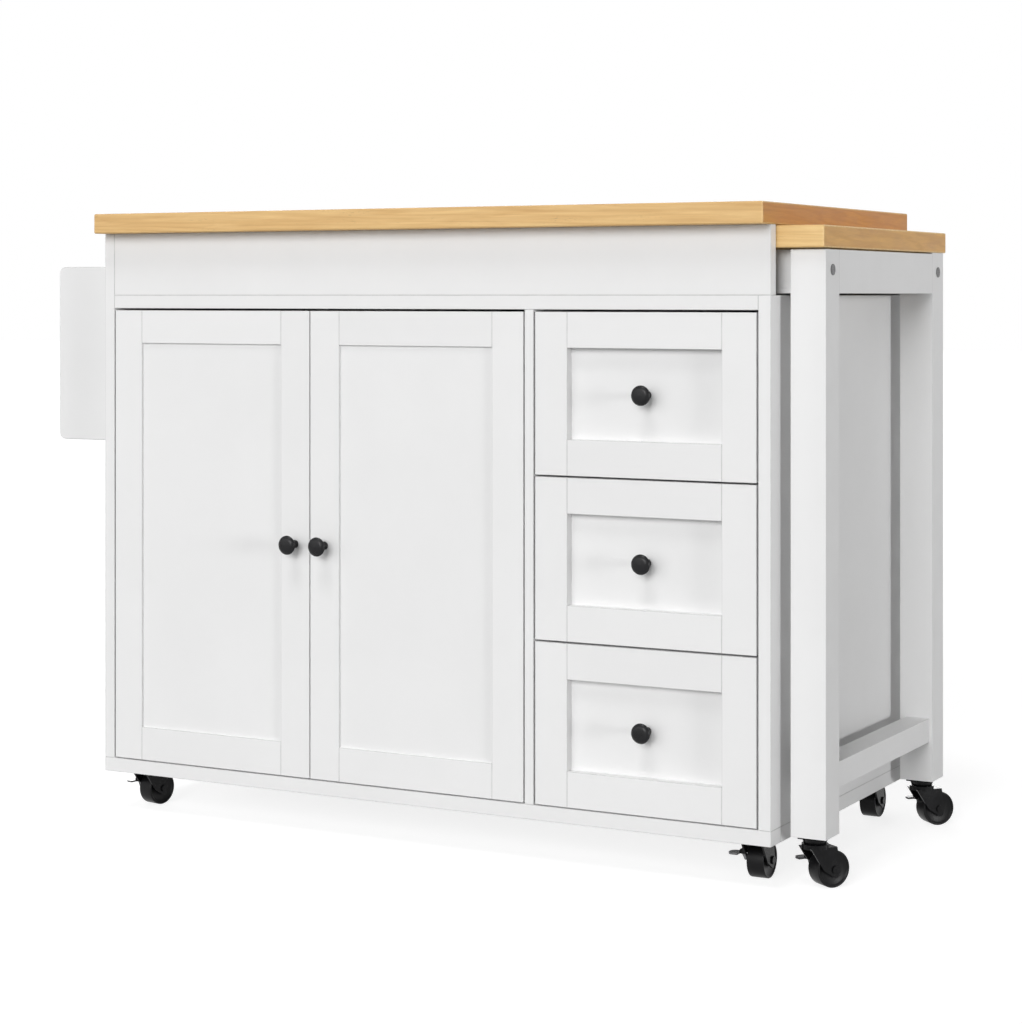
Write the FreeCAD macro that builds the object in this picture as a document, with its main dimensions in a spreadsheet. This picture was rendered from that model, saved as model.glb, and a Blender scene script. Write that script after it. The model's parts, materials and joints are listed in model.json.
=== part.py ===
import FreeCAD, Part
import math
import os
from types import SimpleNamespace

import Sketcher

# A rolling kitchen island: a cupboard with two doors, a bank of three drawers, and a table with two legs
# that pulls out to the right under the countertop. It stands on six braked swivel casters.
# X runs to the right, Y to the back and Z up. The origin is on the floor, at the middle of the island.
# All sizes are in millimetres.

SIZES = {
    # Carcass
    "cabinet_width": 1100,
    "cabinet_depth": 548,
    "side_thickness": 18,
    "divider_thickness": 14,
    "cupboard_width": 713,
    "opening_height": 690,
    "deck_thickness": 20,
    "apron_height": 94,
    "apron_thickness": 18,
    "skirt_height": 21,
    "skirt_thickness": 18,
    "front_skirt_thickness": 34,
    "skirt_drop": 10,
    "bottom_thickness": 15,
    "back_thickness": 5,
    "top_thickness": 30,
    "top_overhang": 28,
    "top_edge_radius": 2,
    # Adjustable shelf and its pins
    "shelf_thickness": 15,
    "shelf_setback": 60,
    "shelf_rise": 330,
    "shelf_clearance": 1,
    "pin_diameter": 5,
    "pin_depth": 8,
    "pin_reach": 8,
    "pin_fit": 0.05,
    "pin_inset": 50,
    "pin_pitch": 32,
    # Doors
    "door_thickness": 18,
    "door_side_gap": 2,
    "door_meeting_gap": 1.5,
    "front_bottom_gap": 1.5,
    "front_top_gap": 3,
    "stile_width": 50,
    "door_recess": 4,
    "door_panel_thickness": 6,
    "groove_depth": 5,
    "groove_clearance": 1,
    # Cup hinges
    "cup_diameter": 35,
    "cup_depth": 14,
    "cup_wall": 0.8,
    "cup_fit": 0.05,
    "hinge_rise": 110,
    "hinge_pin_diameter": 3,
    "hinge_eye_diameter": 6.4,
    "hinge_eye_clearance": 0.3,
    "hinge_fit": 0.05,
    "arm_height": 14,
    "arm_thickness": 2.6,
    "arm_neck": 8,
    "arm_shoulder_out": 15,
    "arm_shoulder_back": 20,
    "arm_heel_out": 11,
    "arm_heel_back": 31,
    "arm_tail": 38,
    # Knobs
    "knob_diameter": 28,
    "knob_base_diameter": 12,
    "knob_neck_diameter": 9,
    "knob_projection": 27,
    "knob_head_thickness": 9,
    "knob_flare": 5,
    "knob_edge_radius": 3,
    # Drawers
    "drawer_side_gap": 2.5,
    "drawer_gap": 2.5,
    "drawer_frame_thickness": 14,
    "drawer_backing": 4,
    "box_back_clearance": 62,
    "box_height": 150,
    "box_wall": 12,
    "box_rise": 25,
    "box_floor": 5,
    "box_floor_rise": 10,
    "box_groove": 6,
    "slide_width": 12.5,
    "slide_height": 45,
    "slide_length": 400,
    "slide_end_clearance": 1,
    "slide_steel": 1.5,
    "slide_fit": 0.3,
    "slide_rise": 50,
    # Pull-out table
    "table_end_clearance": 149,
    "table_reach": 67,
    "table_side_clearance": 2,
    "table_top_clearance": 1,
    "table_thickness": 30,
    "table_travel": 700,
    "leg_size": 50,
    "leg_end_inset": 1,
    "leg_side_inset": 10,
    "leg_edge_radius": 1,
    "rail_thickness": 18,
    "rail_clearance": 0.3,
    "stretcher_width": 36,
    "stretcher_height": 35,
    "stretcher_rise": 59,
    "stretcher_inset": 5,
    "stretcher_edge_radius": 1,
    "stop_thickness": 18,
    "stop_length": 150,
    "stop_height": 40,
    "stop_clearance": 1,
    "bolt_diameter": 6,
    "bolt_head_diameter": 16,
    "bolt_head_thickness": 3,
    "bolt_bite": 25,
    "bolt_drop": 29,
    "bolt_fit": 0.05,
    # Rack on the left end
    "rack_depth": 110,
    "rack_height": 269,
    "rack_rise": 506,
    "rack_inset": 27,
    "rack_plate": 15,
    "rack_corner_radius": 10,
    "rack_shelf_thickness": 12,
    "rack_shelf_rise": 12,
    "rack_shelf_setback": 4,
    "rack_tier": 130,
    "rack_bar_height": 25,
    "rack_bar_thickness": 10,
    "rack_bar_rise": 34,
    # How far a cut runs past the piece it cuts
    "cut_overrun": 5,
    # Casters
    "caster_plate": 38,
    "caster_plate_clearance": 1,
    "caster_right_clearance": 7,
    "caster_plate_thickness": 3,
    "caster_plate_radius": 4,
    "caster_screw_diameter": 4.5,
    "caster_screw_pitch": 28,
    "wheel_diameter": 50,
    "wheel_width": 25,
    "wheel_edge_radius": 4,
    "wheel_recess": 3,
    "wheel_rim": 8,
    "wheel_hub_diameter": 17,
    "wheel_side_clearance": 1,
    "wheel_top_clearance": 3,
    "caster_trail": 22,
    "axle_diameter": 6,
    "axle_head_diameter": 11,
    "axle_head_thickness": 2.2,
    "axle_fit": 0.05,
    "fork_steel": 2.5,
    "fork_bridge": 2.5,
    "fork_rear": 16,
    "fork_front": 25,
    "cheek_toe": 8,
    "cheek_heel": 18,
    "cheek_drop": 14,
    "cheek_corner_radius": 5,
    "raceway_margin": 1,
    "raceway_height": 4,
    "raceway_top_diameter": 30,
    "upper_raceway_height": 7.2,
    "swivel_clearance": 0.3,
    "kingpin_diameter": 9,
    "kingpin_head_diameter": 15,
    "kingpin_head_thickness": 2.2,
    "kingpin_fit": 0.05,
    # Side brake of a caster
    "pedal_reach": 22,
    "pedal_width": 20,
    "pedal_thickness": 2.5,
    "pedal_corner_radius": 8,
    "pedal_drop": 3,
    "pedal_overlap": 1.5,
    "lever_width": 7,
    "lever_offset": 1.8,
    "lever_wall": 1.2,
    "lever_clearance": 0.3,
    "brake_pin_rise": 13,
    "brake_pin_diameter": 4,
    "brake_pin_head_diameter": 7,
    "brake_pin_head_thickness": 1.2,
    "brake_pin_fit": 0.05,
    "ear_thickness": 2.5,
    "ear_wall": 1.5,
    "ear_corner_radius": 3,
    "shoe_clearance": 2,
    "shoe_thickness": 2.2,
    "shoe_top_drop": 8,
    "shoe_low_drop": 12,
    "shoe_arm_drop": 4.5,
    "notch_clearance": 3,
}
DRAWERS = ("bottom", "middle", "top")
SHELF_PIN_ROWS = 5
SHELF_PIN_ROW_IN_USE = 2
RACK_TIERS = 2
# Lengths that differ by less than this are taken as equal
SAME_LENGTH = 1e-4
# The direction in which each caster trails at rest, in degrees from +X
CASTER_TURNS = {
    "front_left": 79,
    "front_right": 90,
    "rear_left": 90,
    "rear_right": 90,
    "table_front": 55,
    "table_rear": 47,
}


class Term:
    """A length worked out from named sizes: the text of its formula, and its value."""

    def __init__(self, text, value):
        self.text = text
        self.value = value

    @staticmethod
    def of(other):
        return other if isinstance(other, Term) else Term(str(other), float(other))

    def join(self, sign, other, value):
        return Term(f"({self.text} {sign} {other.text})", value)

    def __add__(self, other):
        other = Term.of(other)
        return self.join("+", other, self.value + other.value)

    def __sub__(self, other):
        other = Term.of(other)
        return self.join("-", other, self.value - other.value)

    def __mul__(self, other):
        other = Term.of(other)
        return self.join("*", other, self.value * other.value)

    def __truediv__(self, other):
        other = Term.of(other)
        return self.join("/", other, self.value / other.value)

    def __neg__(self):
        return Term(f"(0 - {self.text})", -self.value)


ZERO = Term("0", 0.0)
size = SimpleNamespace(**{name: Term(f"Sizes.{name}", float(value)) for name, value in SIZES.items()})

doc = FreeCAD.newDocument("rolling_kitchen_island")
sheet = doc.addObject("Spreadsheet::Sheet", "Sizes")
for row, (name, value) in enumerate(SIZES.items(), start=1):
    sheet.set(f"A{row}", name)
    sheet.set(f"B{row}", str(value))
    sheet.setAlias(f"B{row}", name)
doc.recompute()
nodes = []


# Ways to make a piece

def place(piece, x=ZERO, y=ZERO, z=ZERO, turn=0):
    """Puts a piece's own origin at a place, turned about Z by whole degrees."""
    piece.Placement.Rotation = FreeCAD.Rotation(FreeCAD.Vector(0, 0, 1), turn)
    for axis, term in zip("xyz", (x, y, z)):
        piece.setExpression(f"Placement.Base.{axis}", term.text)
    return piece


def board(name, x, y, z):
    """A straight board between two places along each axis."""
    box = doc.addObject("Part::Box", name)
    for (low, high), length in zip((x, y, z), ("Length", "Width", "Height")):
        box.setExpression(length, (high - low).text)
    return place(box, x[0], y[0], z[0])


def node(label, pieces):
    """One named sub-part: a single piece, or a group of separate solids."""
    if len(pieces) == 1:
        group = pieces[0]
    else:
        group = doc.addObject("Part::Compound", label)
        group.Links = pieces
    group.Label = label
    nodes.append(group)


def new_body(name):
    return doc.addObject("PartDesign::Body", name)


def bind(sketch, kind, geometry, term):
    """Ties a sketched point's place, or a circle's radius, to named sizes."""
    if kind == "Radius":
        constraint = Sketcher.Constraint(kind, geometry[0], term.value)
    else:
        constraint = Sketcher.Constraint(kind, -1, 1, *geometry, term.value)
    index = sketch.addConstraint(constraint)
    sketch.setExpression(f"Constraints[{index}]", term.text)


def sketch_on(body, role, corners=(), circles=()):
    """A sketch of one closed outline through its corners, and of circles given as (x, y, radius)."""
    plane = next(part for part in body.Origin.OriginFeatures if part.Role == role)
    sketch = body.newObject("Sketcher::SketchObject", f"{body.Name}_outline")
    sketch.AttachmentSupport = (plane, [""])
    sketch.MapMode = "FlatFace"
    points = [FreeCAD.Vector(x.value, y.value, 0) for x, y in corners]
    count = len(points)
    for here in range(count):
        sketch.addGeometry(Part.LineSegment(points[here], points[(here + 1) % count]), False)
    for here in range(count):
        sketch.addConstraint(Sketcher.Constraint("Coincident", here, 2, (here + 1) % count, 1))
    for here, (x, y) in enumerate(corners):
        bind(sketch, "DistanceX", (here, 1), x)
        bind(sketch, "DistanceY", (here, 1), y)
    for x, y, radius in circles:
        centre = FreeCAD.Vector(x.value, y.value, 0)
        ring = sketch.addGeometry(Part.Circle(centre, FreeCAD.Vector(0, 0, 1), radius.value), False)
        bind(sketch, "Radius", (ring,), radius)
        bind(sketch, "DistanceX", (ring, 3), x)
        bind(sketch, "DistanceY", (ring, 3), y)
    return sketch


def rectangle(x, y):
    return [(x[0], y[0]), (x[1], y[0]), (x[1], y[1]), (x[0], y[1])]


def extrude(body, kind, sketch, length, symmetric=False, reversed_way=False, start=None):
    """A pad or a pocket of a sketch, from its plane or from a start height above the plane."""
    if start is not None:
        sketch.setExpression("AttachmentOffset.Base.z", start.text)
    feature = body.newObject(f"PartDesign::{kind}", f"{body.Name}_{kind.lower()}")
    feature.Profile = sketch
    feature.SideType = "Symmetric" if symmetric else "One side"
    feature.Reversed = reversed_way
    feature.setExpression("Length", length.text)
    return feature


def revolve(body, sketch, axis):
    """A full turn of a sketch about one of its own axes."""
    feature = body.newObject("PartDesign::Revolution", f"{body.Name}_turned")
    feature.Profile = sketch
    feature.ReferenceAxis = (sketch, [axis])
    feature.Angle = 360
    return feature


def round_edges(body, radius, chosen):
    """Rounds the edges of the body's last feature for which the test chosen holds."""
    doc.recompute()
    base = body.Tip
    names = [f"Edge{n}" for n, edge in enumerate(base.Shape.Edges, start=1) if chosen(edge)]
    fillet = body.newObject("PartDesign::Fillet", f"{body.Name}_fillet")
    fillet.Base = (base, names)
    fillet.setExpression("Radius", radius.text)
    doc.recompute()


def near(a, b):
    return math.isclose(a, b, abs_tol=SAME_LENGTH)


def runs_along(edge, axis):
    """True where an edge is a straight line along one of the axes x, y and z."""
    if not isinstance(edge.Curve, Part.Line):
        return False
    return near(abs(getattr(edge.tangentAt(edge.FirstParameter), axis)), 1)


# Places that many pieces share

left = -(size.cabinet_width + size.table_reach - size.rack_depth) / 2
right = left + size.cabinet_width
front = -(size.cabinet_depth - size.top_overhang) / 2
rear = front + size.cabinet_depth
bridge_low = size.wheel_diameter + size.wheel_top_clearance
bridge_high = bridge_low + size.fork_bridge
raceway_high = bridge_high + size.raceway_height
upper_raceway_low = raceway_high + size.swivel_clearance
plate_low = upper_raceway_low + size.upper_raceway_height
plate_level = plate_low + size.caster_plate_thickness
skirt_low = plate_level - size.skirt_drop
skirt_top = skirt_low + size.skirt_height
deck_low = skirt_top + size.opening_height
deck_top = deck_low + size.deck_thickness
apron_top = deck_top + size.apron_height
island_top = apron_top + size.top_thickness
bottom_top = plate_level + size.bottom_thickness
inner_left = left + size.side_thickness
inner_right = right - size.side_thickness
inner_front = front + size.front_skirt_thickness
inner_rear = rear - size.skirt_thickness
divider_left = inner_left + size.cupboard_width
divider_right = divider_left + size.divider_thickness
front_low = skirt_top + size.front_bottom_gap
front_high = deck_low - size.front_top_gap
shelf_low = bottom_top + size.shelf_rise
shelf_front = front + size.shelf_setback
shelf_left = inner_left + size.shelf_clearance
shelf_right = divider_left - size.shelf_clearance


# Cabinet

def make_countertop():
    """The slab, with its upper edges and its corners eased."""
    body = new_body("countertop")
    outline = rectangle((left, right), (front - size.top_overhang, rear))
    extrude(body, "Pad", sketch_on(body, "XY_Plane", outline), size.top_thickness, start=apron_top)
    round_edges(
        body,
        size.top_edge_radius,
        lambda edge: near(edge.BoundBox.ZMin, island_top.value) or runs_along(edge, "z"),
    )
    node("countertop", [body])


def shelf_pin_rows():
    """The places (y, z) of the holes in two columns, front and rear, around the shelf's underside."""
    columns = (shelf_front + size.pin_inset, inner_rear - size.pin_inset)
    pin_level = shelf_low - size.pin_diameter / 2
    levels = [pin_level + size.pin_pitch * (row - SHELF_PIN_ROW_IN_USE) for row in range(SHELF_PIN_ROWS)]
    return columns, pin_level, [(y, z) for y in columns for z in levels]


def drill_shelf_holes(body, face, to_the_right):
    """Blind holes for the shelf pins, in the face of an upright board at the place face."""
    radius = size.pin_diameter / 2 + size.pin_fit
    circles = [(y, z, radius) for y, z in shelf_pin_rows()[2]]
    sketch = sketch_on(body, "YZ_Plane", circles=circles)
    depth = size.pin_depth + size.pin_fit
    extrude(body, "Pocket", sketch, depth, reversed_way=to_the_right, start=face)


def make_sides():
    """The left side reaches the countertop, and the right side stops at the deck."""
    body = new_body("left_side_panel")
    outline = rectangle((front, rear), (skirt_top, apron_top))
    extrude(body, "Pad", sketch_on(body, "YZ_Plane", outline), size.side_thickness, start=left)
    drill_shelf_holes(body, inner_left, to_the_right=False)
    node("left_side_panel", [body])
    right_side = board("right_side", (inner_right, right), (front, rear), (skirt_top, deck_top))
    node("right_side_panel", [right_side])


def make_divider():
    """The divider stands on the bottom panel and is notched to reach the skirt at the front."""
    body = new_body("centre_divider")
    corners = [
        (front, skirt_top),
        (inner_front, skirt_top),
        (inner_front, bottom_top),
        (inner_rear, bottom_top),
        (inner_rear, deck_low),
        (front, deck_low),
    ]
    extrude(body, "Pad", sketch_on(body, "YZ_Plane", corners), size.divider_thickness, start=divider_left)
    drill_shelf_holes(body, divider_left, to_the_right=True)
    node("centre_divider", [body])


def make_carcass():
    """The skirt, the bottom, the deck, the aprons and the back."""
    skirt = (skirt_low, skirt_top)
    node(
        "skirt_strips",
        [
            board("front_skirt", (left, right), (front, inner_front), skirt),
            board("rear_skirt", (left, right), (inner_rear, rear), skirt),
            board("left_skirt", (left, left + size.skirt_thickness), (inner_front, inner_rear), skirt),
            board("right_skirt", (right - size.skirt_thickness, right), (inner_front, inner_rear), skirt),
        ],
    )
    inside = (inner_left, inner_right)
    bottom = board("bottom", inside, (inner_front, inner_rear), (plate_level, bottom_top))
    node("bottom_panel", [bottom])
    node("deck_panel", [board("deck", inside, (front, rear), (deck_low, deck_top))])
    apron_run = (inner_left, right)
    apron = (deck_top, apron_top)
    node(
        "aprons",
        [
            board("front_apron", apron_run, (front, front + size.apron_thickness), apron),
            board("rear_apron", apron_run, (rear - size.apron_thickness, rear), apron),
        ],
    )
    back = (inner_rear, inner_rear + size.back_thickness)
    node("back_panel", [board("back", inside, back, (skirt_top, deck_low))])


def make_shelf():
    """The adjustable shelf, on four pins in the holes of the left side and the divider."""
    shelf_z = (shelf_low, shelf_low + size.shelf_thickness)
    shelf = board("shelf", (shelf_left, shelf_right), (shelf_front, inner_rear), shelf_z)
    node("adjustable_shelf", [shelf])
    columns, pin_level, _ = shelf_pin_rows()
    pins = []
    for start in (inner_left - size.pin_depth, divider_left - size.pin_reach):
        for y in columns:
            body = new_body("shelf_pin")
            sketch = sketch_on(body, "YZ_Plane", circles=[(y, pin_level, size.pin_diameter / 2)])
            extrude(body, "Pad", sketch, size.pin_depth + size.pin_reach, start=start)
            pins.append(body)
    node("shelf_pins", pins)


# Rack on the left end

def make_rack():
    """Two end plates with rounded outer corners, two shelves, and a bar in front of each shelf."""
    outer = left - size.rack_depth
    low = skirt_low + size.rack_rise
    high = low + size.rack_height
    front_plate = front + size.rack_inset
    rear_plate = rear - size.rack_inset - size.rack_plate
    plates = []
    for start in (front_plate, rear_plate):
        body = new_body("rack_end")
        outline = rectangle((outer, left), (low, high))
        sketch = sketch_on(body, "XZ_Plane", outline)
        extrude(body, "Pad", sketch, size.rack_plate, reversed_way=True, start=-start)
        round_edges(
            body,
            size.rack_corner_radius,
            lambda edge: runs_along(edge, "y") and near(edge.BoundBox.XMin, outer.value),
        )
        plates.append(body)
    between = (front_plate + size.rack_plate, rear_plate)
    shelves = []
    for tier in range(RACK_TIERS):
        base = low + size.rack_shelf_rise + size.rack_tier * tier
        depth = (outer + size.rack_shelf_setback, left)
        shelves.append(board("rack_shelf", depth, between, (base, base + size.rack_shelf_thickness)))
        bar = base + size.rack_shelf_thickness + size.rack_bar_rise
        thickness = (depth[0], depth[0] + size.rack_bar_thickness)
        shelves.append(board("rack_bar", thickness, between, (bar, bar + size.rack_bar_height)))
    node("side_rack", plates + shelves)


# Doors and their hinges

door_width = (size.cupboard_width - size.door_side_gap * 2 - size.door_meeting_gap) / 2
door_height = front_high - front_low
hinge_levels = (front_low + size.hinge_rise, front_high - size.hinge_rise)
cup_inset = (size.stile_width - size.groove_depth) / 2
cup_floor = front + size.door_thickness - size.cup_depth
pin_level_y = cup_floor + size.cup_wall + size.hinge_eye_clearance + size.hinge_eye_diameter / 2
left_door_edge = inner_left + size.door_side_gap
right_door_edge = divider_left - size.door_side_gap


def stile(name, outer_edge, grooved_to_the_right, cups):
    """A stile with a groove for the panel, and with bores for the hinge cups where it carries them."""
    body = new_body(name)
    grooved = outer_edge + size.stile_width if grooved_to_the_right else outer_edge - size.stile_width
    groove_bottom = grooved - size.groove_depth if grooved_to_the_right else grooved + size.groove_depth
    back_of_panel = front + size.door_recess + size.door_panel_thickness
    corners = [
        (outer_edge, front),
        (grooved, front),
        (grooved, front + size.door_recess),
        (groove_bottom, front + size.door_recess),
        (groove_bottom, back_of_panel),
        (grooved, back_of_panel),
        (grooved, front + size.door_thickness),
        (outer_edge, front + size.door_thickness),
    ]
    extrude(body, "Pad", sketch_on(body, "XY_Plane", corners), door_height, start=front_low)
    if cups:
        centre = outer_edge + cup_inset if grooved_to_the_right else outer_edge - cup_inset
        circles = [(centre, level, size.cup_diameter / 2 + size.cup_fit) for level in hinge_levels]
        sketch = sketch_on(body, "XZ_Plane", circles=circles)
        door_back = front + size.door_thickness
        extrude(body, "Pocket", sketch, size.cup_depth, reversed_way=True, start=-door_back)
    return body


def rail(name, x, outer_edge, groove_up):
    """A rail between two stiles, with a groove for the panel in its inner edge."""
    body = new_body(name)
    inner = outer_edge + size.stile_width if groove_up else outer_edge - size.stile_width
    groove_bottom = inner - size.groove_depth if groove_up else inner + size.groove_depth
    back_of_panel = front + size.door_recess + size.door_panel_thickness
    corners = [
        (front, outer_edge),
        (front, inner),
        (front + size.door_recess, inner),
        (front + size.door_recess, groove_bottom),
        (back_of_panel, groove_bottom),
        (back_of_panel, inner),
        (front + size.door_thickness, inner),
        (front + size.door_thickness, outer_edge),
    ]
    extrude(body, "Pad", sketch_on(body, "YZ_Plane", corners), x[1] - x[0], start=x[0])
    return body


def hinge_cup(name, pivot, level):
    """A round cup in the door's back, with the hinge pin across it."""
    body = new_body(name)
    outer = size.cup_diameter / 2
    inner = outer - size.cup_wall
    rim = front + size.door_thickness
    corners = [
        (ZERO, cup_floor),
        (outer, cup_floor),
        (outer, rim),
        (inner, rim),
        (inner, cup_floor + size.cup_wall),
        (ZERO, cup_floor + size.cup_wall),
    ]
    revolve(body, sketch_on(body, "XY_Plane", corners), "V_Axis")
    pin = sketch_on(body, "XY_Plane", circles=[(ZERO, pin_level_y, size.hinge_pin_diameter / 2)])
    extrude(body, "Pad", pin, (inner + size.cup_wall / 2) * 2, symmetric=True)
    return place(body, pivot, ZERO, level)


def arm_outline(way, tail_x):
    """The bent arm's outline about the pin: out of the cup, round the door's edge, and along the board."""
    half = size.arm_thickness / 2
    thick = size.arm_thickness
    spine = [
        (ZERO, ZERO),
        (size.arm_neck, size.arm_neck),
        (size.arm_shoulder_out, size.arm_shoulder_back),
        (size.arm_heel_out, size.arm_heel_back),
    ]
    lean_shares = (1, 1, 0, -1)
    right_side = [(x + half, y - half * lean) for (x, y), lean in zip(spine, lean_shares)]
    left_side = [(x - half, y + half * lean) for (x, y), lean in zip(spine, lean_shares)]
    foot = size.arm_heel_back + size.arm_tail
    heel = [
        (tail_x + thick, size.arm_heel_back + half),
        (tail_x + thick, foot),
        (tail_x, foot),
        (tail_x, size.arm_heel_back - half),
    ]
    left_side[-1] = (size.arm_heel_out - half, size.arm_heel_back - half)
    corners = right_side + heel + left_side[::-1]
    return [(x * way, pin_level_y + y) for x, y in corners]


def hinge_arm(name, pivot, board_face, level, way):
    """A bent steel arm with an eye round the pin and a tail screwed to the upright board."""
    body = new_body(name)
    tail_x = (board_face - pivot) * way
    sketch = sketch_on(body, "XY_Plane", arm_outline(way, tail_x))
    extrude(body, "Pad", sketch, size.arm_height, symmetric=True)
    eye = sketch_on(body, "XY_Plane", circles=[(ZERO, pin_level_y, size.hinge_eye_diameter / 2)])
    extrude(body, "Pad", eye, size.arm_height, symmetric=True)
    bore_radius = size.hinge_pin_diameter / 2 + size.hinge_fit
    bore = sketch_on(body, "XY_Plane", circles=[(ZERO, pin_level_y, bore_radius)])
    extrude(body, "Pocket", bore, size.arm_height + size.cut_overrun, symmetric=True)
    return place(body, pivot, ZERO, level)


def knob(name, x, seat, z):
    """A turned mushroom knob: foot, waist, flare and a flat head with a rounded edge."""
    body = new_body(name)
    head = size.knob_diameter / 2
    foot = size.knob_base_diameter / 2
    waist = size.knob_neck_diameter / 2
    head_back = size.knob_projection - size.knob_head_thickness
    corners = [
        (ZERO, ZERO),
        (foot, ZERO),
        (waist, -size.knob_flare),
        (waist, -(head_back - size.knob_flare)),
        (head, -head_back),
        (head, -size.knob_projection),
        (ZERO, -size.knob_projection),
    ]
    revolve(body, sketch_on(body, "XY_Plane", corners), "V_Axis")
    round_edges(
        body,
        size.knob_edge_radius,
        lambda edge: near(edge.BoundBox.XLength, size.knob_diameter.value)
        and near(edge.BoundBox.YMin, -size.knob_projection.value),
    )
    return place(body, x, seat, z)


def make_door(side, hinge_edge, hinge_on_left):
    """A door of two stiles, two rails and a recessed panel, with its knob and hinge cups."""
    way = 1 if hinge_on_left else -1
    free_edge = hinge_edge + door_width * way
    hinge_stile_inner = hinge_edge + size.stile_width * way
    free_stile_inner = free_edge - size.stile_width * way
    between = (hinge_stile_inner, free_stile_inner)
    if not hinge_on_left:
        between = between[::-1]
    frame = [
        stile(f"{side}_door_hinge_stile", hinge_edge, hinge_on_left, cups=True),
        stile(f"{side}_door_free_stile", free_edge, not hinge_on_left, cups=False),
        rail(f"{side}_door_bottom_rail", between, front_low, groove_up=True),
        rail(f"{side}_door_top_rail", between, front_high, groove_up=False),
    ]
    node(f"{side}_door_frame", frame)
    bite = size.groove_depth - size.groove_clearance
    panel_y = (front + size.door_recess, front + size.door_recess + size.door_panel_thickness)
    panel_x = (between[0] - bite, between[1] + bite)
    panel_z = (front_low + size.stile_width - bite, front_high - size.stile_width + bite)
    node(f"{side}_door_panel", [board(f"{side}_panel", panel_x, panel_y, panel_z)])
    pivot = hinge_edge + cup_inset * way
    node(f"{side}_door_hinge_cups", [hinge_cup(f"{side}_cup", pivot, level) for level in hinge_levels])
    knob_x = free_edge - size.stile_width / 2 * way
    node(f"{side}_door_knob", [knob(f"{side}_knob", knob_x, front, front_low + door_height / 2)])


def make_doors():
    make_door("left", left_door_edge, hinge_on_left=True)
    make_door("right", right_door_edge, hinge_on_left=False)
    arms = []
    for level in hinge_levels:
        arms.append(hinge_arm("left_arm", left_door_edge + cup_inset, inner_left, level, 1))
        arms.append(hinge_arm("right_arm", right_door_edge - cup_inset, divider_left, level, -1))
    node("door_hinge_arms", arms)


# Drawers

drawer_left = divider_right + size.drawer_side_gap
drawer_right = inner_right - size.drawer_side_gap
drawer_height = (door_height - size.drawer_gap * (len(DRAWERS) - 1)) / len(DRAWERS)
box_left = divider_right + size.slide_width
box_right = inner_right - size.slide_width
backing_front = front + size.drawer_frame_thickness
box_front = backing_front + size.drawer_backing
box_rear = inner_rear - size.box_back_clearance
slide_front = box_front + size.slide_steel
slide_reach = size.slide_width - size.slide_steel - size.slide_end_clearance


def slide_member(name, web, reach_to, height, level):
    """A channel of folded steel: a web at one side and two flanges that reach to the other."""
    body = new_body(name)
    half = height / 2
    way = 1 if reach_to.value > web.value else -1
    inside = web + size.slide_steel * way
    low = level - half
    high = level + half
    corners = [
        (web, low),
        (reach_to, low),
        (reach_to, low + size.slide_steel),
        (inside, low + size.slide_steel),
        (inside, high - size.slide_steel),
        (reach_to, high - size.slide_steel),
        (reach_to, high),
        (web, high),
    ]
    sketch = sketch_on(body, "XZ_Plane", corners)
    extrude(body, "Pad", sketch, size.slide_length, reversed_way=True, start=-slide_front)
    return body


def box_side(name, outer, inner, low):
    """A drawer side with a groove for the floor along its inner face."""
    body = new_body(name)
    way = 1 if inner.value > outer.value else -1
    groove = inner - size.box_groove * way
    floor = low + size.box_floor_rise
    corners = [
        (outer, low),
        (inner, low),
        (inner, floor),
        (groove, floor),
        (groove, floor + size.box_floor),
        (inner, floor + size.box_floor),
        (inner, low + size.box_height),
        (outer, low + size.box_height),
    ]
    sketch = sketch_on(body, "XZ_Plane", corners)
    extrude(body, "Pad", sketch, box_rear - box_front, reversed_way=True, start=-box_front)
    return body


def make_drawer_front(name, low):
    """A backing panel with a frame of stiles and rails applied to its face."""
    high = low + drawer_height
    frame_y = (front, backing_front)
    between = (drawer_left + size.stile_width, drawer_right - size.stile_width)
    full_height = (low, high)
    node(
        f"{name}_drawer_front",
        [
            board(f"{name}_left_stile", (drawer_left, between[0]), frame_y, full_height),
            board(f"{name}_right_stile", (between[1], drawer_right), frame_y, full_height),
            board(f"{name}_low_rail", between, frame_y, (low, low + size.stile_width)),
            board(f"{name}_high_rail", between, frame_y, (high - size.stile_width, high)),
            board(f"{name}_backing", (drawer_left, drawer_right), (backing_front, box_front), full_height),
        ],
    )


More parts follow.
